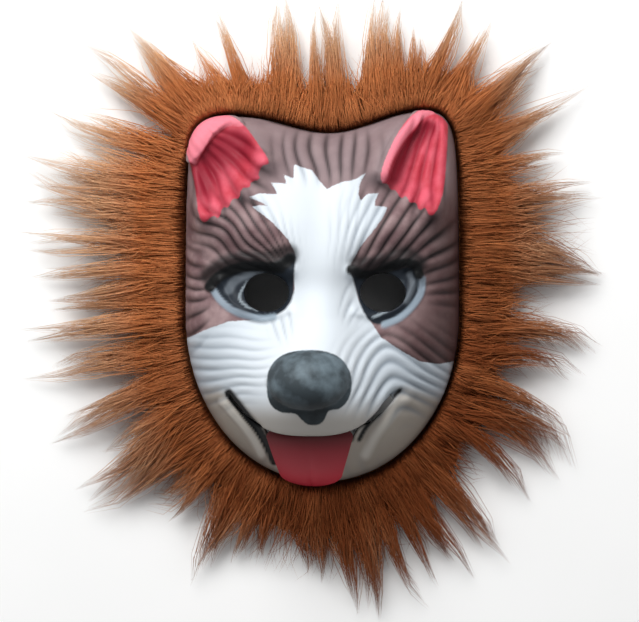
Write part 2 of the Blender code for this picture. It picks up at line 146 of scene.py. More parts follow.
def path_distance(x: np.ndarray, y: np.ndarray, path: Points) -> np.ndarray:
    """Distance from each point to an open path of straight runs.

    Args:
        x: Places across.
        y: Places along.
        path: The path's points, in order.

    Returns:
        Distances in the path's own unit.
    """
    nearest = np.full(np.shape(x), np.inf)
    for (ax, ay), (bx, by) in zip(path, path[1:]):
        run = (bx - ax) ** 2 + (by - ay) ** 2
        t = np.clip(((x - ax) * (bx - ax) + (y - ay) * (by - ay)) / run, 0, 1)
        nearest = np.minimum(nearest, np.hypot(x - ax - t * (bx - ax), y - ay - t * (by - ay)))
    return nearest


def signed_distance(x: np.ndarray, y: np.ndarray, outline: Points) -> np.ndarray:
    """Distance from each point to a closed outline, positive inside it.

    Args:
        x: Places across.
        y: Places along.
        outline: The outline's corners, in order.

    Returns:
        Distances in the outline's own unit.
    """
    closed = outline + outline[:1]
    inside = np.zeros(np.shape(x), bool)
    for (ax, ay), (bx, by) in zip(closed, closed[1:]):
        if ay != by:
            crosses = (ay > y) != (by > y)
            inside ^= crosses & (x < (bx - ax) * (y - ay) / (by - ay) + ax)
    nearest = path_distance(x, y, closed)
    return np.where(inside, nearest, -nearest)


def softened(outline: Points, passes: int = 1) -> Points:
    """A closed outline with its corners cut, a quarter of each side at a time.

    Args:
        outline: The outline's corners, in order.
        passes: How often they are cut.

    Returns:
        The softer outline.
    """
    for _ in range(passes):
        outline = tuple(
            (ax + share * (bx - ax), ay + share * (by - ay))
            for (ax, ay), (bx, by) in zip(outline, outline[1:] + outline[:1])
            for share in (0.25, 0.75)
        )
    return outline


def ramp(value: np.ndarray, start: float, end: float) -> np.ndarray:
    """0 up to the start and 1 from the end on, with a smooth rise between."""
    share = np.clip((value - start) / (end - start), 0, 1)
    return share * share * (3 - 2 * share)


def rounded(path: Points, steps: int = 5) -> Points:
    """A path's corners joined by a smooth curve through them.

    Args:
        path: The points that the curve passes through.
        steps: Straight runs between two of them.

    Returns:
        The finer path.
    """
    stations = tuple(float(k) for k in range(len(path)))
    at = np.linspace(0, len(path) - 1, steps * (len(path) - 1) + 1)
    x, y = (smooth_row(at, stations, column) for column in zip(*path))
    return tuple(zip(x.tolist(), y.tolist()))


def finished(name: str, mesh: bmesh.types.BMesh, materials: list[bpy.types.Material]) -> bpy.types.Object:
    """Turns a bmesh into a smooth shaded object at the origin.

    Args:
        name: The piece's name.
        mesh: Its shape, which is freed.
        materials: Its finishes, in slot order.

    Returns:
        The new object.
    """
    data = bpy.data.meshes.new(name)
    mesh.to_mesh(data)
    mesh.free()
    data.shade_smooth()
    for made in materials:
        data.materials.append(made)
    piece = bpy.data.objects.new(name, data)
    bpy.context.scene.collection.objects.link(piece)
    return piece


def add_attribute(data: bpy.types.Mesh, name: str, values: np.ndarray) -> None:
    """Stores one number for each vertex, for a material to read."""
    attribute = data.attributes.new(name, "FLOAT", "POINT")
    attribute.data.foreach_set("value", np.ascontiguousarray(values, np.float32).ravel())


def grid_places(mesh: bmesh.types.BMesh, columns: int, rows: int) -> np.ndarray:
    """Column and row of each vertex of a fresh grid of size 1."""
    flat = np.array([vertex.co[:2] for vertex in mesh.verts])
    return np.rint((flat + 1) / 2 * (columns, rows)).astype(int)


def turned(x: np.ndarray, y: np.ndarray, degrees: float) -> tuple[np.ndarray, np.ndarray]:
    """Places read off axes that are turned anticlockwise.

    Args:
        x: Places across.
        y: Places along.
        degrees: How far the axes are turned.

    Returns:
        The places across and along the turned axes.
    """
    angle = math.radians(degrees)
    across = x * math.cos(angle) + y * math.sin(angle)
    return across, y * math.cos(angle) - x * math.sin(angle)


def walked_along(path: np.ndarray) -> np.ndarray:
    """Distance walked from a path's start to each of its points."""
    return np.concatenate([[0], np.cumsum(np.linalg.norm(np.diff(path, axis=0), axis=1))])


def path_at(path: np.ndarray, walked: np.ndarray, wanted: np.ndarray) -> np.ndarray:
    """A flat path's places at the wanted walked distances."""
    return np.stack([np.interp(wanted, walked, path[:, k]) for k in (0, 1)], axis=1)


@dataclass(frozen=True)
class Swell:
    """A round form that rises from the face, or sinks into it.

    u is a share of the half width, and v a share of the chin's drop or the crown's rise. across
    and along are half sizes as shares of the half width, turn is in degrees, and rise is a share
    of the face's depth. A power of 2 is a soft swell, and a higher one has a flatter top.
    """

    u: float
    v: float
    across: float
    along: float
    turn: float
    rise: float
    power: float = 2.0


@dataclass(frozen=True)
class Crest:
    """A narrow rounded ridge along a path, with sizes as in Swell."""

    width: float
    rise: float
    path: Points


class Flow(Enum):
    """How the carved strokes of a patch run."""

    RAYS = "away from the focus"
    WEDGES = "down to both sides of the focus"


@dataclass(frozen=True)
class Strokes:
    """A patch of carved fur strokes.

    Places, sizes, the spacing and the depth are in millimetres, from the face's middle, and turn is
    in degrees.
    """

    middle: tuple[float, float]
    reach: tuple[float, float]
    turn: float
    flow: Flow
    focus: tuple[float, float]
    spacing: float
    depth: float


@dataclass(frozen=True)
class FaceForm:
    """The moulded face as a height field: metres, from the middle of its widest line."""

    width: float = 0.172
    chin_drop: float = 0.1045
    crown_rise: float = 0.1285
    crown_dip: float = 0.014
    crown_dip_width: float = 0.038
    crown_dip_x: float = 0.006
    ear_tilt: float = 0.003
    crown_taper: float = 0.03
    chin_roundness: float = 2.03
    crown_roundness: float = 10.0
    skirt: float = 0.014
    depth: float = 0.056
    muzzle_depth: float = 0.095
    muzzle_lean: float = -0.0065
    ridge_power: float = 2.4
    wall_roundness: float = 5.0
    wall_fall: float = 1.8
    ear_roundness: float = 26.0
    lip_line_y: float = -0.0700
    mouth_half: float = 0.052
    mouth_rise: float = 0.0255
    smile_power: float = 3.0
    jaw_step: float = 0.011
    jaw_fade: float = 0.35
    jaw_edge: float = 0.4
    mouth_slit: float = 0.003
    mouth_gape: float = 0.0085
    mouth_cut: float = 0.97
    tongue_half: float = 0.0245
    tongue_room: float = 1.2
    eye_half: tuple[float, float] = (0.0140, 0.0118)
    eye_spacing: float = 0.0712
    eye_middle_x: float = 0.0028
    eye_y: float = 0.0155
    slope_step: float = 0.0005
    halvings: int = 50
    # Sections from the chin up: y, flank and ridge heights, half width of the ridge, as shares
    sections: tuple[tuple[float, float, float, float], ...] = (
        (-1.00, 0.80, 0.74, 0.42),
        (-0.82, 0.86, 0.84, 0.44),
        (-0.67, 0.92, 0.91, 0.45),
        (-0.52, 0.96, 0.98, 0.43),
        (-0.34, 1.00, 0.99, 0.38),
        (-0.14, 1.01, 0.88, 0.30),
        (0.04, 1.00, 0.75, 0.22),
        (0.14, 0.98, 0.69, 0.21),
        (0.26, 1.00, 0.66, 0.26),
        (0.48, 1.03, 0.65, 0.42),
        (0.74, 0.98, 0.58, 0.50),
        (1.00, 0.88, 0.50, 0.52),
    )
    lean: tuple[tuple[float, float], ...] = ((-1.0, 0.55), (-0.35, 1.0), (0.15, 0.0), (1.0, 0.0))
    forms: tuple[Swell, ...] = (
        Swell(-0.47, 0.15, 0.30, 0.22, -14, -0.15, 3.0),
        Swell(0.47, 0.15, 0.30, 0.22, 14, -0.15, 3.0),
        Swell(-0.47, 0.145, 0.22, 0.17, -14, 0.11, 2.5),
        Swell(0.46, 0.145, 0.21, 0.17, 14, 0.11, 2.5),
        Swell(-0.50, 0.40, 0.36, 0.15, -24, 0.15),
        Swell(0.50, 0.40, 0.36, 0.15, 24, 0.15),
        Swell(-0.66, -0.26, 0.26, 0.26, 0, 0.08),
        Swell(0.62, -0.26, 0.26, 0.26, 0, 0.08),
        Swell(0.0, 0.62, 0.10, 0.40, 0, -0.05),
    )
    nose: Swell = Swell(-0.070, -0.345, 0.295, 0.205, 0, 0.17, 3.6)
    ear_forms: tuple[Swell, ...] = (
        Swell(-0.68, 0.71, 0.22, 0.26, 12, -0.13, 2.2),
        Swell(-0.80, 0.87, 0.18, 0.13, 25, 0.14, 2.2),
        Swell(0.71, 0.75, 0.18, 0.29, -6, -0.15, 2.2),
    )
    ridges: tuple[Crest, ...] = (
        Crest(0.035, 0.060, ((-0.72, 0.18), (-0.61, 0.07), (-0.40, 0.00), (-0.22, 0.04))),
        Crest(0.035, 0.060, ((0.69, 0.20), (0.61, 0.08), (0.42, 0.01), (0.26, 0.03))),
        Crest(0.050, 0.085, ((-0.80, 0.24), (-0.59, 0.28), (-0.38, 0.27), (-0.22, 0.22))),
        Crest(0.050, 0.085, ((0.74, 0.26), (0.59, 0.28), (0.40, 0.27), (0.24, 0.22))),
    )
    ear_ridges: tuple[Crest, ...] = (
        Crest(
            0.095,
            0.20,
            ((-0.40, 0.74), (-0.47, 0.86), (-0.62, 0.95), (-0.80, 0.955), (-0.90, 0.90))
            + ((-0.93, 0.76), (-0.91, 0.60), (-0.86, 0.48)),
        ),
        Crest(
            0.095,
            0.24,
            ((0.41, 0.70), (0.47, 0.83), (0.59, 0.95), (0.76, 0.985), (0.88, 0.93))
            + ((0.91, 0.78), (0.89, 0.62), (0.83, 0.50)),
        ),
    )

    @property
    def half_width(self) -> float:
        """Half the face's width."""
        return self.width / 2

    @property
    def origin(self) -> Vector:
        """The face's own origin in the shared frame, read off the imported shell."""
        low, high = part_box("face_shell")
        return Vector(((low.x + high.x) / 2, low.y + self.chin_drop, 0.0))

    def height_share(self, y: np.ndarray) -> np.ndarray:
        """y as a share of the chin's drop or the crown's rise."""
        return y / np.where(y < 0, self.chin_drop, self.crown_rise)

    def placed(self, u: float, v: float) -> tuple[float, float]:
        """A place given as shares, in metres."""
        return self.half_width * u, (self.chin_drop if v < 0 else self.crown_rise) * v

    def rim_ratio(self, x: np.ndarray, y: np.ndarray) -> np.ndarray:
        """How far out towards the face's outline each point is.

        Args:
            x: Places across, in metres.
            y: Places along, in metres.

        Returns:
            0 at the middle of the face, 1 on its outline.
        """
        half = self.half_width * (1 - self.crown_taper * np.maximum(y / self.crown_rise, 0) ** 2)
        dip = self.crown_dip * np.exp(-(((x - self.crown_dip_x) / self.crown_dip_width) ** 2))
        edge = self.crown_rise + self.ear_tilt * x / self.half_width - dip
        low, high = self.chin_roundness, self.crown_roundness
        chin = np.abs(x / self.half_width) ** low + np.abs(y / self.chin_drop) ** low
        crown = np.abs(x / half) ** high + np.abs(y / edge) ** high
        return np.where(y < 0, chin ** (1 / low), crown ** (1 / high))

    def rim_point(self, angle: np.ndarray) -> np.ndarray:
        """The outline's points in some directions, by halving the interval that holds each.

        Args:
            angle: Directions from the middle of the face, in radians.

        Returns:
            x and y of each point, in metres.
        """
        ray = np.stack([np.cos(angle), np.sin(angle)], axis=-1)
        near = np.zeros_like(angle)
        far = np.full_like(angle, 2 * (self.crown_rise + self.half_width))
        for _ in range(self.halvings):
            middle = (near + far) / 2
            inside = self.rim_ratio(ray[..., 0] * middle, ray[..., 1] * middle) < 1
            near = np.where(inside, middle, near)
            far = np.where(inside, far, middle)
        return ray * near[..., None]

    def swell(self, x: np.ndarray, y: np.ndarray, form: Swell) -> np.ndarray:
        """Height of one round form.

        Args:
            x: Places across, in metres.
            y: Places along, in metres.
            form: The form.

        Returns:
            Heights in metres, below zero where the form sinks in.
        """
        x0, y0 = self.placed(form.u, form.v)
        across, along = turned(x - x0, y - y0, form.turn)
        reach = np.hypot(across / (form.across * self.half_width), along / (form.along * self.half_width))
        return form.rise * self.depth * np.exp(-math.log(2) * reach**form.power)

    def crest(self, x: np.ndarray, y: np.ndarray, crest: Crest) -> np.ndarray:
        """Height of one narrow ridge.

        Args:
            x: Places across, in metres.
            y: Places along, in metres.
            crest: The ridge.

        Returns:
            Heights in metres.
        """
        path = tuple(self.placed(u, v) for u, v in crest.path)
        reach = path_distance(x, y, rounded(path)) / (crest.width * self.half_width)
        return crest.rise * self.depth * np.exp(-(reach**2))

    def muzzle_x(self, y: np.ndarray | float) -> np.ndarray:
        """x of the muzzle's middle line, which leans a little to one side."""
        stations, lean = zip(*self.lean)
        return self.muzzle_lean * smooth_row(self.height_share(np.asarray(y, float)), stations, lean)

    def lip_line(self, x: np.ndarray) -> np.ndarray:
        """y of the upper lip's edge: level in the middle, rising to the corners of the smile."""
        share = np.minimum(np.abs(x - self.muzzle_x(self.lip_line_y)) / self.mouth_half, 1)
        return self.lip_line_y + self.mouth_rise * share**self.smile_power

    def mouth_gap(self, x: np.ndarray) -> np.ndarray:
        """Height of the mouth's opening: a slit at the corners, wide where the tongue comes out."""
        room = self.tongue_room * self.tongue_half - np.abs(x - self.muzzle_x(self.lip_line_y))
        return self.mouth_slit + (self.mouth_gape - self.mouth_slit) * np.clip(room / self.mouth_slit, 0, 1)

    def nose_bulb(self, x: np.ndarray, y: np.ndarray) -> np.ndarray:
        """A crowned bulb with a crease round it.

        Args:
            x: Places across, in metres.
            y: Places along, in metres.

        Returns:
            Heights in metres.
        """
        x0, y0 = self.placed(self.nose.u, self.nose.v)
        across, along = self.nose.across * self.half_width, self.nose.along * self.half_width
        reach = np.hypot((x - x0) / across, (y - y0) / along)
        return self.nose.rise * self.depth * np.maximum(1 - reach**self.nose.power, 0) ** 0.5

    def height(self, x: np.ndarray, y: np.ndarray, jaw: np.ndarray | float | None = None) -> np.ndarray:
        """Height of the face's outer side.

        Args:
            x: Places across, in metres.
            y: Places along, in metres.
            jaw: 1 for the lower jaw carried on behind the lip; None picks it by place.

        Returns:
            Heights above the rim, in metres.
        """
        v = self.height_share(y)
        stations, flank, mid, half = zip(*self.sections)
        cheeks = self.depth * smooth_row(v, stations, flank)
        middle = self.muzzle_depth * smooth_row(v, stations, mid)
        spread = np.abs(x - self.muzzle_x(y)) / (self.half_width * smooth_row(v, stations, half))
        form = cheeks + (middle - cheeks) * np.exp(-math.log(2) * spread**self.ridge_power)
        form = form + sum(self.swell(x, y, row) for row in self.forms)
        form = form + sum(self.crest(x, y, row) for row in self.ridges)
        if jaw is None:
            jaw = np.clip((self.lip_line(x) - y) / (self.jaw_edge * self.mouth_slit), 0, 1)
        fade = np.abs(x - self.muzzle_x(self.lip_line_y)) / self.mouth_half
        fade = np.clip((1 - fade) / self.jaw_fade, 0, 1)
        form = form + self.nose_bulb(x, y) * (1 - jaw) - self.jaw_step * jaw * fade
        ratio = np.clip(self.rim_ratio(x, y), 0, 1)
        ears = sum(self.swell(x, y, row) for row in self.ear_forms)
        ears = ears + sum(self.crest(x, y, row) for row in self.ear_ridges)
        wall = (1 - ratio**self.wall_roundness) ** (1 / self.wall_fall)
        return self.skirt + (form - self.skirt) * wall + ears * (1 - ratio**self.ear_roundness)

    def outward(self, x: np.ndarray, y: np.ndarray, jaw: np.ndarray | float | None = None) -> np.ndarray:
        """Directions straight out of the face's outer side, from small steps either way.

        Args:
            x: Places across, in metres.
            y: Places along, in metres.
            jaw: As for height.

        Returns:
            Unit normals.
        """
        step = self.slope_step
        slope_x = (self.height(x + step, y, jaw) - self.height(x - step, y, jaw)) / (2 * step)
        slope_y = (self.height(x, y + step, jaw) - self.height(x, y - step, jaw)) / (2 * step)
        normal = np.stack([-slope_x, -slope_y, np.ones_like(slope_x)], axis=-1)
        return normal / np.linalg.norm(normal, axis=-1, keepdims=True)


@dataclass(frozen=True)
class Carving:
    """Fur strokes carved into the mould, patch by patch, as rounded strands with narrow valleys.

    Lengths are in millimetres. softness rounds the valleys' floors, and the painted shade in the
    valleys is darkest in strokes at least full_valley_shade deep. sway bends the strokes, as a share of
    their spacing. A patch fades out by edge_power, and its depth varies between places varied_size
    apart. level is the part of a strand's height that lies below the face's own surface.
    """

    softness: float = 0.12
    full_valley_shade: float = 1.1
    sway: float = 0.24
    sway_size: float = 24.0
    edge_power: int = 5
    mean_depth: float = 0.85
    varied_depth: float = 0.30
    varied_size: float = 12.0
    varied_seed: int = 40
    level: float = 0.6
    wedge_sides: tuple[float, float] = (math.radians(62), math.radians(38))
    wedge_round: float = 5.0
    patches: tuple[Strokes, ...] = (
        Strokes((-62, -32), (31, 23), 14, Flow.RAYS, (80, -10), 6.6, 0.78),  # left cheek
        Strokes((-24, -1), (8, 12), 12, Flow.RAYS, (-4, -60), 5.2, 0.60),  # left of the muzzle
        Strokes((52, -34), (38, 27), 0, Flow.WEDGES, (48, -48), 6.2, 1.90),  # right cheek
        Strokes((21, 10), (8, 12), -15, Flow.RAYS, (-12, -62), 5.6, 0.80),  # right of the bridge
        Strokes((-50, 52), (34, 22), -30, Flow.RAYS, (-6, 10), 6.0, 1.65),  # left brow
        Strokes((44, 52), (28, 26), 30, Flow.RAYS, (2, -6), 6.8, 1.35),  # right brow
        Strokes((78, 32), (14, 26), 0, Flow.RAYS, (32, 12), 8.6, 1.70),  # right temple
        Strokes((-82, 10), (12, 36), 0, Flow.RAYS, (-28, 24), 8.6, 1.30),  # left temple
        Strokes((4, 101), (32, 18), 0, Flow.RAYS, (4, -80), 8.2, 1.00),  # forehead
        Strokes((17, 56), (11, 24), -12, Flow.RAYS, (6, -30), 5.6, 0.40),  # blaze
        Strokes((-58, 88), (26, 24), -40, Flow.RAYS, (-84, 124), 8.2, 1.70),  # left ear
        Strokes((63, 92), (14, 32), 0, Flow.RAYS, (77, 152), 6.6, 1.60),  # right ear
        Strokes((-6, -96), (60, 10), 0, Flow.RAYS, (-6, -30), 8.0, 0.30),  # jaw
    )

    def phase(self, patch: Strokes, x: np.ndarray, y: np.ndarray) -> np.ndarray:
        """How many strokes over each point is, before they sway.

        Args:
            patch: The patch of strokes.
            x: Places across, in millimetres.
            y: Places along, in millimetres.

        Returns:
            Counts that are whole in the valleys.
        """
        fx, fy = x - patch.focus[0], y - patch.focus[1]
        if patch.flow is Flow.WEDGES:
            left, right = self.wedge_sides
            one = fy * math.cos(left) - fx * math.sin(left)
            other = fy * math.cos(right) + fx * math.sin(right)
            return ((one + other) / 2 + np.hypot((one - other) / 2, self.wedge_round)) / patch.spacing
        ax, ay = patch.middle[0] - patch.focus[0], patch.middle[1] - patch.focus[1]
        swung = np.arctan2(ax * fy - ay * fx, ax * fx + ay * fy)
        return swung * math.hypot(ax, ay) / patch.spacing

    def relief(self, x: np.ndarray, y: np.ndarray) -> tuple[np.ndarray, np.ndarray]:
        """The strokes at each point.

        Args:
            x: Places across, in metres.
            y: Places along, in metres.

        Returns:
            Height of the strokes in metres, and how deep in a valley each point is, from 0 to 1.
        """
        x, y = x / MM, y / MM
        total = np.zeros(x.shape)
        valley = np.zeros(x.shape)
        low = math.sqrt(self.softness)
        for seed, patch in enumerate(self.patches):
            across, along = turned(x - patch.middle[0], y - patch.middle[1], patch.turn)
            out = np.hypot(across / patch.reach[0], along / patch.reach[1])
            weight = np.exp(-math.log(2) * out**self.edge_power)
            phase = self.phase(patch, x, y) + self.sway * wander(x, y, self.sway_size, seed)
            crest = np.sqrt(np.sin(math.pi * phase) ** 2 + self.softness) - low
            crest = crest / (math.sqrt(1 + self.softness) - low)
            varied = wander(x, y, self.varied_size, seed + self.varied_seed)
            cut = weight * (self.mean_depth + self.varied_depth * varied)
            total += cut * patch.depth * (crest - self.level)
            # How deep in a valley each point is: this lays the painted shade in the carved valleys
            valley += weight * min(patch.depth / self.full_valley_shade, 1.0) * (1 - crest) ** 2
        return total * MM, np.clip(valley, 0, 1)


@dataclass(frozen=True)
class Brushed:
    """One brushed line: its half width and the softness of its edge in millimetres, and its path."""

    half: float
    soft: float
    path: Points

    def over(self, x: np.ndarray, y: np.ndarray) -> np.ndarray:
        """How fully the line covers each point, from 0 to 1."""
        return 1 - ramp(path_distance(x, y, rounded(self.path)), self.half, self.half + self.soft)


@dataclass(frozen=True)
class PaintPlan:
    """Where each colour is sprayed: outlines in millimetres, as a stencil held in front sees them.

    The stencil's flat is the plane of the shell's rim, seen from the spray point. Its zero lies
    stencil_rise above the middle of the face. The ears' paint stops at the height of ear_floor. A
    band or shade is where a soft change of colour starts and ends, up, down or across the face.
    Every one but the crown band lays painted shade where the face turns away from the light.
    """

    spray_point: tuple[float, float, float] = (46.6, 46.5, 1400.0)
    stencil_rise: float = 3.2
    ear_floor: float = 24.0
    fold_edge: float = 1.5
    crown_band: tuple[float, float] = (66, 96)
    side_shade_slant: float = 0.3
    side_shade_band: tuple[float, float] = (30, 78)
    underside_shade_band: tuple[float, float] = (46, 66)
    left_shade: tuple[float, float] = (26, 84)
    right_shade: tuple[float, float] = (4, 58)
    nose_shade: tuple[float, float] = (36, 60)
    blaze: Points = (
        ((-45, 72), (-40, 73), (-35, 72.5), (-40, 75), (-47, 78), (-40, 80.5), (-34, 80), (-29, 80))
        + ((-31, 84), (-33, 87), (-27, 87), (-23, 86), (-25, 92.5), (-22, 91), (-18.5, 89.5))
        + ((-18.5, 99), (-14, 97), (-7, 95), (-2, 88), (2.5, 83), (7, 85.5), (12, 87.5), (20, 89))
        + ((27, 93), (24.5, 89), (23, 85), (22.5, 80), (24, 75.5), (26, 78), (28.5, 80), (35.5, 80.5))
        + ((33, 76), (33, 72.5), (37, 72), (41, 71.5), (38, 65), (33, 58), (24, 47), (18, 36), (17, 32))
        + ((20, 25), (23, 12), (31, -2), (37, -11), (49, -19), (61, -26), (73, -28), (84, -26))
        + ((95, -26), (95, -120), (-100, -120), (-100, -14), (-85, -11), (-74, -6), (-60, -1))
        + ((-46, 0), (-30, 3), (-22, 10), (-18, 20), (-19, 30), (-18, 43), (-22, 51), (-32, 62))
    )
    left_ear: Points = (
        ((-90, 114), (-88, 127), (-78, 134), (-58, 130), (-49, 123), (-42, 113), (-35, 103), (-34, 99))
        + ((-39, 98), (-41, 93), (-40, 89), (-46, 88), (-46, 84), (-52, 84), (-53, 77), (-58, 77))
        + ((-60, 71), (-64, 72), (-66, 64), (-70, 67), (-75, 61), (-79, 65), (-81, 83), (-85, 102))
    )
    right_ear: Points = (
        ((36, 90), (38, 98), (42, 108), (47, 118), (54, 128), (62, 134), (70, 138), (76, 137), (79, 130))
        + ((79, 115), (78, 100), (77, 86), (75, 76), (71, 67), (67, 66), (65, 72), (61, 69), (59, 75))
        + ((55, 74), (53, 79), (49, 77), (46, 83), (43, 82), (41, 87), (38, 86))
    )
    flap: Points = (
        ((-90, 108), (-90, 122), (-80, 136), (-57, 132), (-48, 124), (-52, 122), (-59, 123), (-67, 118))
        + ((-73, 111), (-78, 103), (-81, 97), (-85, 100))
    )
    nose: Points = (
        ((-36, -42), (-35, -31), (-27, -22), (-15, -19), (-1, -19), (11, -23), (18, -33), (18.5, -45))
        + ((15, -53), (10, -57), (5, -57), (2.5, -59), (1, -64), (-3, -67), (-10, -67), (-14, -63))
        + ((-18, -59), (-26, -59.5), (-32, -56), (-35, -51))
    )
    jaw: Points = (
        ((-62, -44), (-50, -57), (-39, -69), (-30, -74), (22, -74), (29, -68), (42, -54), (50, -43))
        + ((62, -46), (80, -50), (80, -120), (-90, -120), (-80, -44))
    )
    eyeballs: tuple[Points, ...] = (
        ((-70, 21), (-60, 31), (-46, 33), (-36, 34), (-24, 39), (-17, 44), (-18.5, 28), (-18.5, 14))
        + ((-26, 4), (-38, 1.5), (-50, 4), (-60, 9), (-66, 15)),
        ((17, 33), (25, 29), (39, 31), (58, 35), (62, 26), (60, 15), (53, 6), (44, -1), (38, -3))
        + ((30, -2), (24, 8), (21, 19)),
    )
    lashes: tuple[Brushed, ...] = (
        Brushed(2.6, 1.8, ((-72, 21), (-68, 26), (-60, 31), (-49, 34), (-38, 34), (-27, 33))),
        Brushed(2.6, 2.2, ((-33, 33), (-26, 35), (-21, 39))),
        Brushed(2.4, 1.8, ((18, 32), (25, 29), (33, 29), (41, 33), (50, 36), (58, 35), (61, 29))),
    )
    shadows: tuple[Brushed, ...] = (
        Brushed(3.6, 5.5, ((-72, 28), (-62, 35), (-49, 38), (-36, 38), (-22, 42))),
        Brushed(3.2, 5.5, ((22, 35), (32, 35), (42, 38), (52, 41), (60, 36))),
    )
    lids: tuple[Brushed, ...] = (
        Brushed(1.3, 1.6, ((-70, 19), (-66, 13), (-59, 7), (-50, 3), (-39, 1), (-31, 2))),
        Brushed(1.4, 1.6, ((63, 26), (62, 17), (56, 8), (48, 1), (39, -3))),
    )
    # Painted highlights where the eye holes' cut edges catch the light
    hole_rim_highlights: tuple[Brushed, ...] = (
        Brushed(0.4, 0.7, ((-39, 28), (-46, 25), (-51, 20), (-53, 14), (-49, 9), (-42, 6))),
        Brushed(0.5, 0.8, ((41, 27), (48, 25), (51, 20), (50, 14), (45, 9), (37, 4), (32, 2))),
    )
    gleams: tuple[Brushed, ...] = (
        Brushed(1.5, 2.6, ((-60, 19), (-56, 25), (-49, 28.5), (-40, 29.5))),
        Brushed(0.8, 2.2, ((55, 29), (57, 22), (53, 12))),
    )
    ear_rim: Brushed = Brushed(2.2, 1.6, ((37, 90), (41, 102), (47, 113), (55, 123), (63, 131), (72, 134)))
    # Painted shadow in the ears' hollows, under the fold
    ear_shadows: tuple[Brushed, ...] = (
        Brushed(6.0, 12.0, ((-79, 88), (-74, 99), (-66, 106), (-56, 110))),
        Brushed(2.0, 7.0, ((45, 91), (51, 104), (58, 114), (67, 122))),
    )
    # The black mouth lines: partly paint, partly painted shade in the mouth's gap beside the tongue
    mouth: tuple[Brushed, ...] = (
        Brushed(2.0, 1.4, ((-60, -47), (-54, -54.5), (-48, -62), (-42, -69), (-36, -79), (-31, -90))),
        Brushed(0.5, 1.7, ((49, -44.5), (42, -51.5), (35, -59.5), (27.5, -68), (23, -76))),
    )
    lips: tuple[Brushed, ...] = (
        Brushed(0.8, 3.2, ((-64, -52), (-58, -59), (-51, -67), (-45, -75), (-39, -86))),
        Brushed(0.4, 4.6, ((54, -48), (47, -56), (40, -65), (33, -74), (27, -86))),
    )

    def seen(self, place: np.ndarray) -> tuple[np.ndarray, np.ndarray]:
        """Places on the stencil's flat that the spray point sees points through.

        Args:
            place: Points of the face, in millimetres.

        Returns:
            x and y on the flat.
        """
        sx, sy, far = self.spray_point
        grown = far / (far - place[:, 2])
        return sx + (place[:, 0] - sx) * grown, sy + (place[:, 1] - sy) * grown + self.stencil_rise

    def masks(self, place: np.ndarray) -> dict[str, np.ndarray]:
        """Every painted mask at each point.

        Args:
            place: Points of the face, in millimetres.

        Returns:
            Distances inside each outline in millimetres, and soft masks from 0 to 1, by name.
        """
        x, y = self.seen(place)
        inside = {
            "white": self.blaze,
            "left_ear": softened(self.left_ear),
            "right_ear": softened(self.right_ear),
            "nose": softened(self.nose, 2),
            "jaw": softened(self.jaw),
            "left_eye": softened(self.eyeballs[0]),
            "right_eye": softened(self.eyeballs[1]),
            "fold": softened(self.flap),
        }
        found = {name: signed_distance(x, y, outline) for name, outline in inside.items()}
        lines = {
            "lash": self.lashes,
            "shadow": self.shadows,
            "lid": self.lids,
            "hole_rim_highlight": self.hole_rim_highlights,
            "gleam": self.gleams,
            "depth": self.ear_shadows,
            "mouth": self.mouth,
            "lip": self.lips,
            "rim": (self.ear_rim,),
        }
        for name, drawn in lines.items():
            found[name] = np.max([line.over(x, y) for line in drawn], axis=0)
        ears = np.maximum(found.pop("left_ear"), found.pop("right_ear"))
        found["ear"] = np.minimum(ears, place[:, 2] - self.ear_floor)
        found["eyeball"] = np.maximum(found.pop("left_eye"), found.pop("right_eye"))
        # the lighter fold and rim: partly their own pink, partly painted highlight where they catch the
        # light
        found["flap"] = np.maximum(ramp(found.pop("fold"), 0, self.fold_edge), found.pop("rim"))
        # painted shadow in the ear's hollow, kept off the fold
        found["hollow"] = found.pop("depth") * (1 - found["flap"])
        found["crown"] = ramp(y, *self.crown_band)
        # painted shade on the right and lower side of the face, away from the key light
        found["side_shade"] = ramp(x - self.side_shade_slant * y, *self.side_shade_band)
        # painted shade, darker towards the bottom of the face
        found["under"] = ramp(-y, *self.underside_shade_band)
        # painted shade: the white greys out on the cheeks, which turn away from the light
        found["cheek"] = np.maximum(ramp(-x, *self.left_shade), ramp(x, *self.right_shade))
        # painted shade, the nose darker towards its underside
        found["chin"] = ramp(-y, *self.nose_shade)
        return found


def new_finish(name: str, values: dict[str, object]) -> tuple[bpy.types.Material, bpy.types.Node]:
    """Starts a material with its shader's constants.

    Args:
        name: What the real finish is.
        values: Constants for the shader's own sockets, by name.

    Returns:
        The material and its shader.
    """
    made = bpy.data.materials.new(name)
    made.use_nodes = True
    shader = made.node_tree.nodes["Principled BSDF"]
    for socket, value in values.items():
        shader.inputs[socket].default_value = value
    return made, shader


@dataclass(frozen=True)
class Grain:
    """A fine relief all over a finish: the size and height of its grains, and how it is drawn."""

    size_mm: float
    height_mm: float
    detail: float
    strength: float

    def on(self, tree: bpy.types.NodeTree, shader: bpy.types.Node) -> bpy.types.NodeSocket:
        """Gives a finish its grain.

        Args:
            tree: The material's node tree.
            shader: The material's shader.

        Returns:
            The pattern of the grain, from 0 to 1.
        """
        place = add_node(tree, "ShaderNodeTexCoord").outputs["Object"]
        size = {"Scale": 1 / (self.size_mm * MM), "Detail": self.detail}
        pattern = add_node(tree, "ShaderNodeTexNoise", inputs={"Vector": place, **size}).outputs["Fac"]
        height = {"Strength": self.strength, "Distance": self.height_mm * MM}
        bump = add_node(tree, "ShaderNodeBump", inputs={"Height": pattern, **height})
        tree.links.new(bump.outputs["Normal"], shader.inputs["Normal"])
        return pattern


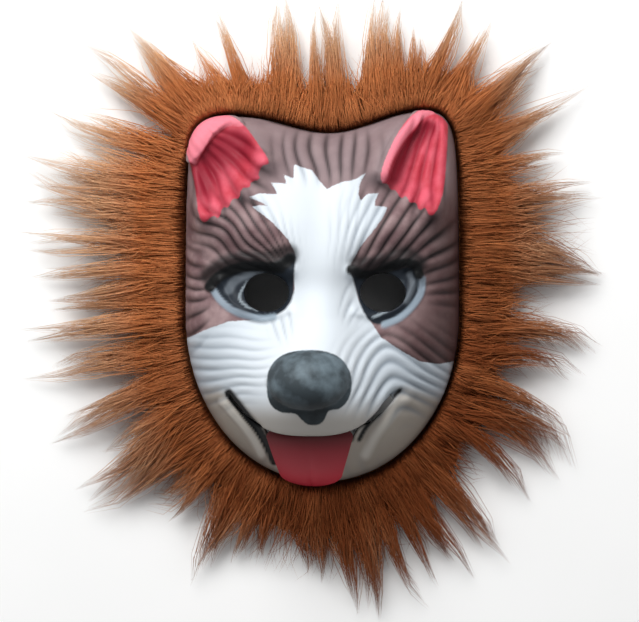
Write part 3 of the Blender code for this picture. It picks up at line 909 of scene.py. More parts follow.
@dataclass(frozen=True)
class Coat:
    """One coat of paint over the ones before it.

    mask names the stored mask that it follows, and share is how much it covers there. Where that
    mask is a distance inside an outline, soft is half the width of the coat's edge, and wobble how
    far the edge strays, both in millimetres.
    """

    mask: str
    colour: str | bpy.types.NodeSocket
    share: float = 1.0
    soft: float = 0.0
    wobble: float = 0.0

    def over(
        self,
        tree: bpy.types.NodeTree,
        below: tuple[float, ...] | bpy.types.NodeSocket,
        ragged: bpy.types.NodeSocket,
    ) -> bpy.types.NodeSocket:
        """Lays the coat over a colour.

        Args:
            tree: The material's node tree.
            below: The colour under the coat.
            ragged: The pattern by which an edge strays.

        Returns:
            The colour with the coat on it.
        """
        cover = add_node(tree, "ShaderNodeAttribute", {"attribute_name": self.mask}).outputs["Fac"]
        if self.soft:
            stray = {0: ragged, 1: 2 * self.wobble, 2: cover}
            strayed = add_node(tree, "ShaderNodeMath", {"operation": "MULTIPLY_ADD"}, stray).outputs[0]
            edge = {"From Min": self.wobble - self.soft, "From Max": self.wobble + self.soft}
            cover = add_node(tree, "ShaderNodeMapRange", inputs={"Value": strayed, **edge}).outputs["Result"]
        part = add_node(tree, "ShaderNodeMath", {"operation": "MULTIPLY"}, {0: cover, 1: self.share})
        above = linear(self.colour) if isinstance(self.colour, str) else self.colour
        layers = {FACTOR: part.outputs[0], UNDER: below, OVER: above}
        return add_node(tree, "ShaderNodeMix", {"data_type": "RGBA"}, layers).outputs[RESULT]


@dataclass(frozen=True)
class PaintedShell:
    """Vacuum-formed PVC sprayed with matt acrylic: soft colour edges, painted shade in the strokes' valleys.

    Spray paint dries with grains of about 0.2 mm, too fine to show here, so they are drawn at 0.9 mm.
    The edges stray by their ragged_mm, and the paint's tones change over spots of mottle_mm.
    """

    white: str = "d8dfe5"
    white_shade: str = "a9b3bc"
    white_valley_shade: str = "6d7884"
    # jaw: the lower jaw's grey beige, partly its own paint and partly painted shade as it faces down
    jaw: str = "9c9388"
    lip: str = "cfcbc4"
    brown: str = "745a5c"
    brown_light: str = "988080"
    brown_valley_shade: str = "23181a"
    side_shade: str = "47302f"
    crown: str = "8b7a7c"
    ear: str = "bd3a49"
    ear_light: str = "d4586a"
    ear_shade: str = "861228"
    # flap: lighter pink on the ear's fold and rim, partly painted highlight
    flap: str = "e58291"
    nose: str = "353e43"
    nose_light: str = "6b7a82"
    nose_underside_shade: str = "181e22"
    lash: str = "07090b"
    eyeball: str = "1d242d"
    gleam: str = "757d85"
    hole_rim_highlight: str = "9aa5ac"
    lid: str = "8b9ba8"
    roughness: float = 0.6
    ior: float = 1.49
    specular: float = 0.3
    grain: Grain = Grain(0.9, 0.12, 2.0, 0.35)
    ragged_mm: float = 2.2
    mottle_mm: float = 14.0
    spot_span: tuple[float, float] = (0.38, 0.66)

    def build(self) -> bpy.types.Material:
        """The painted outside of the shell: the areas coat by coat, then one area over another.

        Returns:
            The material.
        """
        values = {"Roughness": self.roughness, "IOR": self.ior, "Specular IOR Level": self.specular}
        made, shader = new_finish("acrylic_on_formed_pvc", values)
        tree = made.node_tree
        self.grain.on(tree, shader)
        place = add_node(tree, "ShaderNodeTexCoord").outputs["Object"]
        ragged, mottle = (
            add_node(
                tree,
                "ShaderNodeTexNoise",
                inputs={"Vector": place, "Scale": 1 / (size * MM), "Detail": detail},
            ).outputs["Fac"]
            for size, detail in ((self.ragged_mm, 3.0), (self.mottle_mm, 5.0))
        )
        span = dict(zip(("From Min", "From Max"), self.spot_span))
        spots = add_node(tree, "ShaderNodeMapRange", inputs={"Value": mottle, **span}).outputs["Result"]
        tones = (self.brown, self.brown_light), (self.ear, self.ear_light), (self.nose, self.nose_light)
        brown, pink, slate = (
            add_node(
                tree,
                "ShaderNodeMix",
                {"data_type": "RGBA"},
                {FACTOR: spots, UNDER: linear(dark), OVER: linear(light)},
            ).outputs[RESULT]
            for dark, light in tones
        )

        def coated(below: tuple[float, ...] | bpy.types.NodeSocket, *coats: Coat) -> bpy.types.NodeSocket:
            """A colour with some coats over it.

            Args:
                below: The colour under them.
                *coats: The coats, lowest first.

            Returns:
                The colour with the coats on it.
            """
            for coat in coats:
                below = coat.over(tree, below, ragged)
            return below

        brown = coated(
            brown,
            # painted shade on the right and lower side, away from the key light
            Coat("side_shade", self.side_shade, 0.85),
            Coat("crown", self.crown, 0.7),
            # painted shade darkens the carved valleys
            Coat("painted_valley_shade", self.brown_valley_shade),
        )
        white = coated(
            linear(self.white),
            # painted shade on the cheeks, where they turn away from the light
            Coat("cheek", self.white_shade, 0.7),
            # the lower jaw's grey beige: partly its own paint, partly painted shade
            Coat("jaw", self.jaw, 0.9, soft=4.0, wobble=0.5),
            # painted shade towards the bottom of the face
            Coat("under", self.jaw, 0.8),
            Coat("lip", self.lip, 0.6),
            # painted shade darkens the carved valleys
            Coat("painted_valley_shade", self.white_valley_shade, 0.7),
        )
        pink = coated(
            pink,
            # painted shade in the ears' valleys, and painted shadow in their hollows under the fold
            Coat("painted_valley_shade", self.ear_shade, 0.75),
            Coat("hollow", self.ear_shade, 0.85),
            # partly the fold's own pink, partly painted highlight where it catches the light
            Coat("flap", self.flap, 0.85),
        )
        # painted shade towards the nose's underside
        slate = coated(slate, Coat("chin", self.nose_underside_shade, 0.85))
        colour = coated(
            brown,
            Coat("white", white, soft=0.4, wobble=0.5),
            Coat("ear", pink, soft=0.4, wobble=0.5),
            Coat("shadow", self.lash, 0.85),
            Coat("eyeball", self.eyeball, soft=0.8, wobble=0.3),
            Coat("gleam", self.gleam, 0.5),
            # painted highlight on the eye holes' cut edges
            Coat("hole_rim_highlight", self.hole_rim_highlight, 0.75),
            Coat("lid", self.lid, 0.9),
            Coat("lash", self.lash),
            # partly paint, partly painted shade in the mouth's gap
            Coat("mouth", self.lash),
            Coat("nose", slate, soft=0.45, wobble=0.4),
        )
        tree.links.new(colour, shader.inputs["Base Color"])
        return made


@dataclass(frozen=True)
class RawShell:
    """The unpainted back of black PVC sheet: dull, with the faint grain of the forming mould. Its near black
    is also painted shade, so that the eye holes look dark.
    """

    dark: str = "121416"
    light: str = "1c1f22"
    roughness: float = 0.7
    ior: float = 1.53
    grain: Grain = Grain(1.4, 0.2, 3.0, 0.3)

    def build(self) -> bpy.types.Material:
        """The inside of the shell.

        Returns:
            The material.
        """
        made, shader = new_finish("raw_formed_pvc", {"Roughness": self.roughness, "IOR": self.ior})
        tree = made.node_tree
        tones = {FACTOR: self.grain.on(tree, shader), UNDER: linear(self.dark), OVER: linear(self.light)}
        shade = add_node(tree, "ShaderNodeMix", {"data_type": "RGBA"}, tones)
        tree.links.new(shade.outputs[RESULT], shader.inputs["Base Color"])
        return made


@dataclass(frozen=True)
class TonguePaint:
    """Soft moulded PVC in red, satin, with painted shadow that darkens it towards the root, under the lip.
    """

    tip: str = "c42a3d"
    # root: the colour of the painted shadow under the lip
    root: str = "54080f"
    roughness: float = 0.55
    ior: float = 1.53
    specular: float = 0.3
    grain: Grain = Grain(1.1, 0.15, 3.0, 0.25)

    def build(self) -> bpy.types.Material:
        """The tongue's finish.

        Returns:
            The material.
        """
        values = {"Roughness": self.roughness, "IOR": self.ior, "Specular IOR Level": self.specular}
        made, shader = new_finish("satin_red_pvc", values)
        tree = made.node_tree
        self.grain.on(tree, shader)
        # down carries the painted shadow under the lip
        down = add_node(tree, "ShaderNodeAttribute", {"attribute_name": "down"}).outputs["Fac"]
        tones = {FACTOR: down, UNDER: linear(self.root), OVER: linear(self.tip)}
        blend = add_node(tree, "ShaderNodeMix", {"data_type": "RGBA"}, tones)
        tree.links.new(blend.outputs[RESULT], shader.inputs["Base Color"])
        return made


@dataclass(frozen=True)
class FurFibre:
    """Acrylic faux fur fibre with a soft sheen: orange brown, fading to tan and cream at the tip.

    The colours stand at their shares of the strand's run from the face, and shadow lies over them
    on the darker strands: painted shade away from the crown and the left side, and random streaks.
    """

    stops: tuple[tuple[float, str], ...] = (
        (0.0, "c47c4e"),
        (0.35, "de9058"),
        (0.68, "efc298"),
        (1.0, "f0dfcc"),
    )
    shadow: str = "8c4a28"
    sheen: str = "efc298"
    roughness: float = 0.6
    ior: float = 1.5
    specular: float = 0.25

    def build(self) -> bpy.types.Material:
        """The fibre's finish, read from where along the strand a point is.

        Returns:
            The material.
        """
        values = {"Roughness": self.roughness, "IOR": self.ior, "Specular IOR Level": self.specular}
        made, shader = new_finish("acrylic_fur_fibre", {**values, "Specular Tint": linear(self.sheen)})
        tree = made.node_tree
        along, tone = (
            add_node(tree, "ShaderNodeAttribute", {"attribute_name": name}).outputs["Fac"]
            for name in ("along", "tone")
        )
        shades = add_node(tree, "ShaderNodeValToRGB", inputs={"Fac": along})
        ends = shades.color_ramp.elements
        ends[0].color, ends[1].color = linear(self.stops[0][1]), linear(self.stops[-1][1])
        for place, colour in self.stops[1:-1]:
            shades.color_ramp.elements.new(place).color = linear(colour)
        layers = {FACTOR: tone, UNDER: linear(self.shadow), OVER: shades.outputs["Color"]}
        lit = add_node(tree, "ShaderNodeMix", {"data_type": "RGBA"}, layers)
        tree.links.new(lit.outputs[RESULT], shader.inputs["Base Color"])
        return made


@dataclass(frozen=True)
class FurBacking:
    """Knitted backing of the fur with the dense underfur on it: matt, in tufts of two browns."""

    dark: str = "b0683a"
    light: str = "da8e5a"
    roughness: float = 0.95
    specular: float = 0.1
    tufts: Grain = Grain(3.0, 0.8, 6.0, 0.8)

    def build(self) -> bpy.types.Material:
        """The finish of the backing and underfur.

        Returns:
            The material.
        """
        values = {"Roughness": self.roughness, "Specular IOR Level": self.specular}
        made, shader = new_finish("knitted_backing_with_underfur", values)
        tree = made.node_tree
        tones = {FACTOR: self.tufts.on(tree, shader), UNDER: linear(self.dark), OVER: linear(self.light)}
        shade = add_node(tree, "ShaderNodeMix", {"data_type": "RGBA"}, tones)
        tree.links.new(shade.outputs[RESULT], shader.inputs["Base Color"])
        return made


@dataclass(frozen=True)
class Details:
    """How far the moulded details stand out or sink in, and how wide their slopes are.

    All are in millimetres. A slope runs between two distances inside the detail's outline, and the
    blaze's edge rises only between two heights on the face.
    """

    ear: float = 1.4
    ear_slope: tuple[float, float] = (-1.5, 1.5)
    flap: float = 2.6
    flap_slope: tuple[float, float] = (-2.0, 0.5)
    hollow: float = 1.2
    lid: float = 1.0
    lash: float = 0.8
    lip: float = 0.9
    eyeball: float = 1.2
    eyeball_slope: tuple[float, float] = (0, 5)
    mouth: float = 1.1
    blaze: float = 0.7
    blaze_slope: tuple[float, float] = (-0.4, 0.6)
    blaze_band: tuple[float, float] = (30, 60)


@dataclass
class FaceShell:
    """The moulded face with its ears, lids, nose and jaw, its holes and its two strap slots.

    Lengths are in metres. The plan's points crowd towards its corners. Edges past near_rim keep
    their place when the holes are cut, and those past on_outline grow the skirt. Edges within
    eye_catch of an eye hole move onto it. The strokes calm down towards the rim, on the nose from
    a height of nose_calm, and round the eye holes from a ratio, over a width.
    """

    form: FaceForm
    carving: Carving = field(default_factory=Carving)
    paint: PaintPlan = field(default_factory=PaintPlan)
    details: Details = field(default_factory=Details)
    wall: float = 0.002
    columns: int = 180
    rows: int = 244
    crowding: float = 0.35
    crown_corner: float = math.radians(57)
    chin_corner: float = math.radians(45)
    outline_samples: int = 2880
    near_rim: float = 0.99
    on_outline: float = 0.999
    eye_catch: float = 1.5
    rim_calm: int = 40
    nose_calm: float = 0.002
    eye_calm: tuple[float, float] = (1.15, 0.35)
    slot_span: tuple[float, float] = (0.014, 0.026)
    slot_heights: tuple[float, float] = (0.0085, 0.0055)
    slot_margin: float = 0.004

    def arc(self, start: float, end: float, count: int) -> np.ndarray:
        """Points of the outline between two directions, closer together near the ends.

        Args:
            start: The first direction, in radians.
            end: The last direction, in radians.
            count: How many steps lie between them.

        Returns:
            x and y of the points.
        """
        dense = self.form.rim_point(np.linspace(start, end, self.outline_samples))
        walked = walked_along(dense)
        return path_at(dense, walked, walked[-1] * self.crowded(count))

    def crowded(self, count: int) -> np.ndarray:
        """count + 1 shares from 0 to 1, closer together near the ends."""
        even = np.linspace(0, 1, count + 1)
        return (1 - self.crowding) * even + self.crowding * (1 - np.cos(math.pi * even)) / 2

    def plan(self) -> np.ndarray:
        """The shell's points before they are raised: a grid between four stretches of the outline.

        Returns:
            x and y of the points, by column and row.
        """
        turn, chin_at, crown_at = math.pi, self.chin_corner, self.crown_corner
        chin = self.arc(-turn + chin_at, -chin_at, self.columns)
        crown = self.arc(turn - crown_at, crown_at, self.columns)
        left = self.arc(turn + chin_at, turn - crown_at, self.rows)
        right = self.arc(-chin_at, crown_at, self.rows)
        s = self.crowded(self.columns)[:, None, None]
        t = self.crowded(self.rows)[None, :, None]
        between = (1 - t) * chin[:, None] + t * crown[:, None] + (1 - s) * left[None] + s * right[None]
        corners = (1 - s) * (1 - t) * chin[0] + s * (1 - t) * chin[-1]
        corners = corners + (1 - s) * t * crown[0] + s * t * crown[-1]
        return between - corners

    def eye_ratio(self, x: np.ndarray, y: np.ndarray) -> tuple[np.ndarray, np.ndarray]:
        """How far out from the nearer eye hole's middle each point is, 1 on its edge.

        Args:
            x: Places across.
            y: Places along.

        Returns:
            The ratio, and x of that hole's middle.
        """
        side = np.where(x < self.form.eye_middle_x, -1, 1)
        middle = self.form.eye_middle_x + side * self.form.eye_spacing / 2
        across, along = self.form.eye_half
        return np.hypot((x - middle) / across, (y - self.form.eye_y) / along), middle

    def in_mouth(self, x: np.ndarray, y: np.ndarray) -> np.ndarray:
        """Whether each point is in the mouth's opening.

        Args:
            x: Places across.
            y: Places along.

        Returns:
            True in the opening.
        """
        form = self.form
        lip = form.lip_line(x)
        near = np.abs(x - form.muzzle_x(form.lip_line_y)) < form.mouth_cut * form.mouth_half
        return near & (y < lip) & (y > lip - form.mouth_gap(x))

    def cut_holes(self, mesh: bmesh.types.BMesh) -> None:
        """Takes out the faces in the eye holes and the mouth, and moves their edges onto the cut.

        Args:
            mesh: The flat plan.
        """
        faces = list(mesh.faces)
        middles = np.array([face.calc_center_median()[:2] for face in faces])
        ratio, _ = self.eye_ratio(middles[:, 0], middles[:, 1])
        out = (ratio < 1) | self.in_mouth(middles[:, 0], middles[:, 1])
        bmesh.ops.delete(mesh, geom=[f for f, gone in zip(faces, out) if gone], context="FACES")
        for vertex in (v for v in mesh.verts if v.is_boundary):
            x, y = np.float64(vertex.co.x), np.float64(vertex.co.y)
            if self.form.rim_ratio(x, y) > self.near_rim:
                continue
            ratio, middle = self.eye_ratio(x, y)
            if ratio < self.eye_catch:
                vertex.co.x = middle + (x - middle) / ratio
                vertex.co.y = self.form.eye_y + (y - self.form.eye_y) / ratio
            else:
                lip = float(self.form.lip_line(x))
                low = lip - float(self.form.mouth_gap(x))
                vertex.co.y = lip if abs(y - lip) < abs(y - low) else low

    def raise_face(self, mesh: bmesh.types.BMesh) -> None:
        """Lifts the flat plan to the face's form, and marks how deep in a valley each vertex is, for painted
        shade.

        The strokes fade out at the rim, on the nose and round the eye holes.

        Args:
            mesh: The flat plan.
        """
        flat = np.array([vertex.co[:2] for vertex in mesh.verts])
        x, y = flat[:, 0], flat[:, 1]
        lifted = np.stack([x, y, self.form.height(x, y)], axis=1)
        strokes, valley = self.carving.relief(x, y)
        strokes = strokes + self.modelled(lifted)
        calm = 1 - self.form.rim_ratio(x, y) ** self.rim_calm
        calm = calm * (1 - np.clip(self.form.nose_bulb(x, y) / self.nose_calm, 0, 1))
        eyes, _ = self.eye_ratio(x, y)
        start, width = self.eye_calm
        calm = calm * np.clip((eyes - start) / width, 0, 1)
        lifted += self.form.outward(x, y) * (strokes * calm)[:, None]
        # Stored for the painted shade in the carved valleys
        painted_valley_shade = mesh.verts.layers.float.new("painted_valley_shade")
        for vertex, place, depth in zip(mesh.verts, lifted, valley * calm):
            vertex.co = place
            vertex[painted_valley_shade] = depth

    def modelled(self, place: np.ndarray) -> np.ndarray:
        """Height of the ears' edges and folds, the lids, the lips and the blaze's edge.

        Args:
            place: Points of the face, in metres.

        Returns:
            Heights in metres.
        """
        masks, form = self.paint.masks(place / MM), self.details
        height = form.ear * ramp(masks["ear"], *form.ear_slope)
        height += form.flap * masks["flap"] * ramp(masks["ear"], *form.flap_slope)
        height -= form.hollow * masks["hollow"]
        height += form.lid * masks["lid"] + form.lash * masks["lash"] + form.lip * masks["lip"]
        height -= form.eyeball * ramp(masks["eyeball"], *form.eyeball_slope)
        height -= form.mouth * masks["mouth"]
        edge = form.blaze * ramp(masks["white"], *form.blaze_slope)
        height += edge * ramp(place[:, 1] / MM, *form.blaze_band)
        return height * MM

    def build(self, outside: bpy.types.Material, inside: bpy.types.Material) -> bpy.types.Object:
        """The whole shell as one piece with a wall.

        Args:
            outside: The painted finish.
            inside: The raw finish of the back.

        Returns:
            The finished piece.
        """
        mesh = bmesh.new()
        bmesh.ops.create_grid(mesh, x_segments=self.columns, y_segments=self.rows, size=1)
        places = grid_places(mesh, self.columns, self.rows)
        plan = self.plan()[places[:, 0], places[:, 1]]
        for vertex, place in zip(mesh.verts, plan):
            vertex.co = (*place, 0)
        self.cut_holes(mesh)
        self.raise_face(mesh)
        self.add_skirt(mesh)
        shift = self.form.origin
        bmesh.ops.translate(mesh, vec=shift, verts=mesh.verts)
        shell = finished("face", mesh, [outside, inside])
        local = np.array([v.co for v in shell.data.vertices]) - np.array(shift)
        for name, values in self.paint.masks(local / MM).items():
            add_attribute(shell.data, name, values)
        wall = shell.modifiers.new("wall", "SOLIDIFY")
        wall.thickness = self.wall
        wall.offset = -1
        wall.material_offset = 1
        wall.material_offset_rim = 0
        return shell

    def add_skirt(self, mesh: bmesh.types.BMesh) -> None:
        """Carries the outline straight down to the floor, with a slot for a strap on each side.

        Args:
            mesh: The raised face.
        """
        edges = [e for e in mesh.edges if e.is_boundary and self.on_rim(e)]
        for height in (*self.slot_heights, 0.0):
            grown = bmesh.ops.extrude_edge_only(mesh, edges=edges)["geom"]
            edges = [piece for piece in grown if isinstance(piece, bmesh.types.BMEdge) and piece.is_boundary]
            for vertex in {v for e in edges for v in e.verts}:
                vertex.co.z = height
        low, high = self.slot_span
        middle = sum(self.slot_heights) / 2
        slots = []
        for face in mesh.faces:
            x, y, z = face.calc_center_median()
            beside = abs(x) > self.form.half_width - self.slot_margin
            if beside and low < y < high and abs(z - middle) < MM:
                slots.append(face)
        bmesh.ops.delete(mesh, geom=slots, context="FACES")

    def on_rim(self, edge: bmesh.types.BMEdge) -> bool:
        """Whether an edge lies on the face's outline."""
        ratios = (self.form.rim_ratio(np.float64(v.co.x), np.float64(v.co.y)) for v in edge.verts)
        return all(ratio > self.on_outline for ratio in ratios)


@dataclass
class Tongue:
    """A soft slab that comes out under the lip and drapes down the chin."""

    form: FaceForm
    tip_half: float = 0.0185
    root: float = 0.007
    root_half: float = 0.0190
    thickness: float = 0.003
    stop: float = 0.002
    sink: float = 0.4
    round_start: float = 0.72
    round_end: float = 0.985
    seat: float = 0.0008
    columns: int = 40
    rows: int = 56
    furrow: float = 0.0007
    furrow_half: float = 0.12
    shade_rise: float = 0.001
    shade_share: float = 0.8
    edge_width: float = 0.0008
    edge_steps: int = 3
    edge_angle: float = math.radians(50)

    def build(self, finish: bpy.types.Material) -> bpy.types.Object:
        """The tongue, with a shallow furrow down its middle and rounded edges.

        Args:
            finish: The tongue's finish.

        Returns:
            The finished piece.
        """
        form = self.form
        length = form.chin_drop + form.lip_line_y - self.stop
        mesh = bmesh.new()
        bmesh.ops.create_grid(mesh, x_segments=self.columns, y_segments=self.rows, size=1)
        flat = np.array([vertex.co[:2] for vertex in mesh.verts])
        s = flat[:, 0]
        down = -self.root + (1 - flat[:, 1]) / 2 * (length + self.root)
        tip_start = self.round_start * length
        stations = (-self.root, 0.0, tip_start, length)
        half = np.interp(down, stations, (self.root_half, form.tongue_half, self.tip_half, self.tip_half))
        past = np.clip((down - tip_start) / (length - tip_start), 0, self.round_end)
        half = half * np.sqrt(1 - past**2)
        x = form.muzzle_x(form.lip_line_y) + s * half
        y = form.lip_line_y - down
        sunk = 1 + self.sink * np.clip(-down / self.root, 0, 1)
        lifted = np.stack([x, y, form.height(x, y, sunk)], axis=1)
        furrow = self.furrow * np.exp(-((s / self.furrow_half) ** 2)) * np.clip(down / length, 0, 1)
        lifted += form.outward(x, y, sunk) * (self.seat - furrow)[:, None]
        for vertex, place in zip(mesh.verts, lifted):
            vertex.co = place
        bmesh.ops.translate(mesh, vec=form.origin, verts=mesh.verts)
        tongue = finished("tongue_slab", mesh, [finish])
        # painted shadow under the upper lip, fading down the tongue
        shade = np.clip((down + self.shade_rise) / (self.shade_share * length), 0, 1)
        add_attribute(tongue.data, "down", shade)
        wall = tongue.modifiers.new("wall", "SOLIDIFY")
        wall.thickness = self.thickness
        wall.offset = 1
        soften = tongue.modifiers.new("soften", "BEVEL")
        soften.width = self.edge_width
        soften.segments = self.edge_steps
        soften.angle_limit = self.edge_angle
        return tongue


@dataclass(frozen=True)
class Wisp:
    """One long lock.

    clock is where on the outline it starts, in degrees, reach how far it goes beyond the face in
    millimetres, lean its turn from straight out in degrees, bulk its share of the strands, and curl
    how far its tip turns aside in degrees.
    """

    clock: float
    reach: float
    lean: float
    bulk: float
    curl: float = 0.0


@dataclass(frozen=True)
class PileGrowth:
    """How the dense pile grows, with lengths in metres.

    Some strands are rooted right next to the face and the others further out, up to a share of the
    pile's reach. Their tips gather towards the middle of a small lock.
    """

    strands: int = 16500
    locks: int = 260
    fan_out: float = 0.03
    inner_share: float = 0.5
    inner_roots: float = 0.0012
    outer_roots: float = 0.70
    lock_reach: tuple[float, float] = (0.84, 1.16)
    gathered: tuple[float, float] = (0.1, 0.7)
    tip_spread: float = 0.0022
    reach: tuple[float, float] = (0.55, 1.12)
    shortest: float = 0.014


@dataclass(frozen=True)
class WispGrowth:
    """How the long wisps grow, with lengths in metres and angles in degrees.

    Where a value is a pair, its second number is for each unit of the wisp's bulk. A wisp splits in
    a few points, and its strands thin out towards them.
    """

    strands: int = 15000
    root_spread: tuple[float, float] = (0.0015, 0.0013)
    root_power: float = 0.8
    root_share: float = 0.85
    points: tuple[int, float] = (2, 1.6)
    point_turn: tuple[float, float] = (1.6, 0.8)
    shortest_point: float = 0.68
    longest_point: float = 0.98
    full_reach: float = 1.04
    falls_short: float = 0.68
    thinning: float = 1.3
    narrowing: float = 0.5
    tip_spread: float = 0.0005
    curl_spread: float = 5.0


@dataclass(frozen=True)
class StrayGrowth:
    """How the single strands between the wisps grow, with lengths in metres, and curl in radians."""

    strands: int = 1800
    root_share: float = 0.7
    tip_spread: float = 0.008
    reach: tuple[float, float] = (1.0, 1.65)
    curl_spread: float = 0.2


@dataclass(frozen=True)
class StrandShape:
    """The shape of one strand, with lengths in metres.

    A real fibre is about 0.05 mm thick. These are drawn some ten times as thick, and far fewer, so
    that they show. stations are a strand's points as shares of its run, and taper the widths at all
    but the last. It rises out of the underfur, most of all next to the face, arches, and falls
    towards the floor. arch, rim_lift and swell are shares of the ruff's height.
    """

    sides: int = 3
    radius: float = 0.00024
    radius_range: tuple[float, float] = (0.7, 1.3)
    stations: tuple[float, ...] = (0.0, 0.16, 0.46, 0.76, 1.0)
    taper: tuple[float, ...] = (1.0, 0.95, 0.75, 0.45)
    wave: float = 0.022
    bend: float = 0.75
    rim_lift: float = 0.45
    rim_width: float = 0.004
    sunk: float = 0.0008
    swell: float = 0.12
    swell_size: float = 0.012
    arch: tuple[float, float] = (0.62, 0.92)
    arch_gain: float = 3.4
    arch_rise: float = 0.7
    arch_fall: float = 1.3
    settling: float = 1.4
    tip_height: tuple[float, float] = (0.0012, 0.008)
    lowest: float = 0.0008


@dataclass(frozen=True)
class StrandTone:
    """Where the fibre's colours lie on the ruff, with lengths in metres.

    Up to body of the colours' run follows the distance from the face, and the rest the place on the
    strand. The ruff is painted lighter at the crown and on the left, as painted light where the key
    light falls, and varies in random streaks.
    """

    body: float = 0.62
    body_length: float = 0.06
    tip: float = 0.38
    tip_start: float = 0.02
    tip_length: float = 0.05
    mean: float = 0.46
    crown_painted_light: float = 0.38
    left_painted_light: float = 0.19
    streaks: float = 0.10
    streak_size: float = 0.006
    spread: float = 0.09


@dataclass
class FurRuff:
    """The ring of long-pile fur: a backing band with underfur, and the strands that grow from it.

    Lengths are in metres. window is the stretch of outline that smooths the outward directions, and
    height the ruff's own. The underfur reaches under_share as far as the pile, with humps of
    under_hump, and the pile reaches thinning as far as the dense table says. The last rows of the
    section, the underside, lie on the floor.
    """

    form: FaceForm
    pile_growth: PileGrowth = field(default_factory=PileGrowth)
    wisp_growth: WispGrowth = field(default_factory=WispGrowth)
    stray_growth: StrayGrowth = field(default_factory=StrayGrowth)
    strand: StrandShape = field(default_factory=StrandShape)
    tone: StrandTone = field(default_factory=StrandTone)
    seed: int = 7
    clearance: float = 0.0004
    samples: int = 2048
    window: float = 0.018
    height: float = 0.020
    under_share: float = 0.84
    under_ragged: float = 0.10
    under_hump: float = 0.010
    thinning: float = 0.87
    stations: int = 360
    sectors: int = 5
    weld: float = 0.00001
    underside: int = 4
    # Section of the band with its underfur: share of the way out, and of the height
    section: tuple[tuple[float, float], ...] = (
        ((0.0, 0.35), (0.10, 0.42), (0.26, 0.44), (0.45, 0.38), (0.68, 0.25), (0.86, 0.12), (1.0, 0.04))
        + ((0.98, 0.0), (0.66, 0.0), (0.33, 0.0), (0.0, 0.0))
    )
    # Reach of the dense pile beyond the face: clock in degrees, millimetres
    dense: tuple[tuple[float, float], ...] = (
        ((0, 42), (12, 46), (27, 61), (35, 61), (42, 48), (50, 31), (56, 30), (64, 28), (75, 33))
        + ((90, 34), (104, 33), (112, 25), (121, 28), (125, 28), (127, 9), (128.5, 9), (131, 26))
        + ((135, 40), (141, 57), (150, 60))
        + ((160, 42), (172, 38), (185, 37), (200, 38), (213, 43), (222, 50), (235, 39), (245, 42))
        + ((260, 46), (275, 46), (290, 44), (305, 37), (320, 33), (335, 33), (350, 38))
    )
    wisps: tuple[Wisp, ...] = (
        Wisp(121, 79, 5, 2.5),
        Wisp(125, 92, 0, 2),
        Wisp(130, 94, -3, 1.8),
        Wisp(137, 107, -8, 2),
        Wisp(135, 88, -9, 1),
        Wisp(143, 104, -5, 1.5),
        Wisp(153, 112, -1, 1),
        Wisp(160, 101, 4, 1),
        Wisp(166, 85, 7, 1),
        Wisp(111, 72, 19, 0.7),
        Wisp(114, 56, 25, 0.7),
        Wisp(104, 62, 6, 1),
        Wisp(101, 83, 10, 2.5),
        Wisp(92, 78, 4, 1),
        Wisp(85, 84, -1, 2),
        Wisp(74, 80, -12, 2),
        Wisp(71, 77, -14, 1.5),
        Wisp(69, 67, -8, 1),
        Wisp(66, 55, -4, 1),
        Wisp(64, 77, -11, 1, 6),
        Wisp(60, 71, 2, 1),
        Wisp(58, 45, 12, 1),
        Wisp(55, 83, 10, 3),
        Wisp(52, 92, 7, 1),
        Wisp(50, 66, 15, 1.5),
        Wisp(47, 69, 2, 1),
        Wisp(40, 91, 3, 2),
        Wisp(27, 92, -4, 3),
        Wisp(18, 90, -2, 2),
        Wisp(357, 91, -12, 2, -16),
        Wisp(346, 82, -5, 1, -15),
        Wisp(336, 85, -11, 1.5, -17),
        Wisp(327, 97, -8, 2.5, -14),
        Wisp(322, 84, -18, 1, -8),
        Wisp(304, 97, -4, 2, -4),
        Wisp(296, 90, -4, 2),
        Wisp(291, 84, -2, 1),
        Wisp(286, 94, -1, 1),
        Wisp(280, 91, -1, 3),
        Wisp(275, 85, 3, 2),
        Wisp(269, 64, 3, 1),
        Wisp(264, 59, 9, 1),
        Wisp(256, 57, 4, 1),
        Wisp(252, 65, 0, 1),
        Wisp(245, 88, 5, 3),
        Wisp(236, 66, 2, 1),
        Wisp(233, 74, -8, 1, -26),
        Wisp(226, 84, 4, 2),
        Wisp(219, 102, 9, 3),
        Wisp(213, 77, 7, 1),
        Wisp(204, 101, 6, 2),
        Wisp(193, 106, 2, 2),
        Wisp(180, 105, 7, 2),
        Wisp(172, 88, 5, 1.5),
    )

    def __post_init__(self) -> None:
        """Samples the face's outline once, with smoothed outward directions."""
        dense = self.form.rim_point(np.linspace(0, 2 * math.pi, self.samples * 2 + 1))
        walked = walked_along(dense)
        self.length: float = walked[-1]
        self.step: float = self.length / self.samples
        self.rim: np.ndarray = path_at(dense, walked, self.step * np.arange(self.samples))
        near = round(self.window / self.step)
        along = np.roll(self.rim, -near, axis=0) - np.roll(self.rim, near, axis=0)
        for _ in range(2):
            along = (np.roll(along, -near // 2, axis=0) + along + np.roll(along, near // 2, axis=0)) / 3
        along /= np.linalg.norm(along, axis=1, keepdims=True)
        self.out: np.ndarray = np.stack([along[:, 1], -along[:, 0]], axis=1)
        self.clock: np.ndarray = np.degrees(np.arctan2(self.rim[:, 1], self.rim[:, 0])) % 360
        at, reach_mm = (np.array(column, float) for column in zip(*self.dense))
        reach = self.thinning * np.interp(self.clock, at, reach_mm, period=360) * MM
        self.pile_reach: np.ndarray = reach
        self.origin: np.ndarray = np.array(self.form.origin)

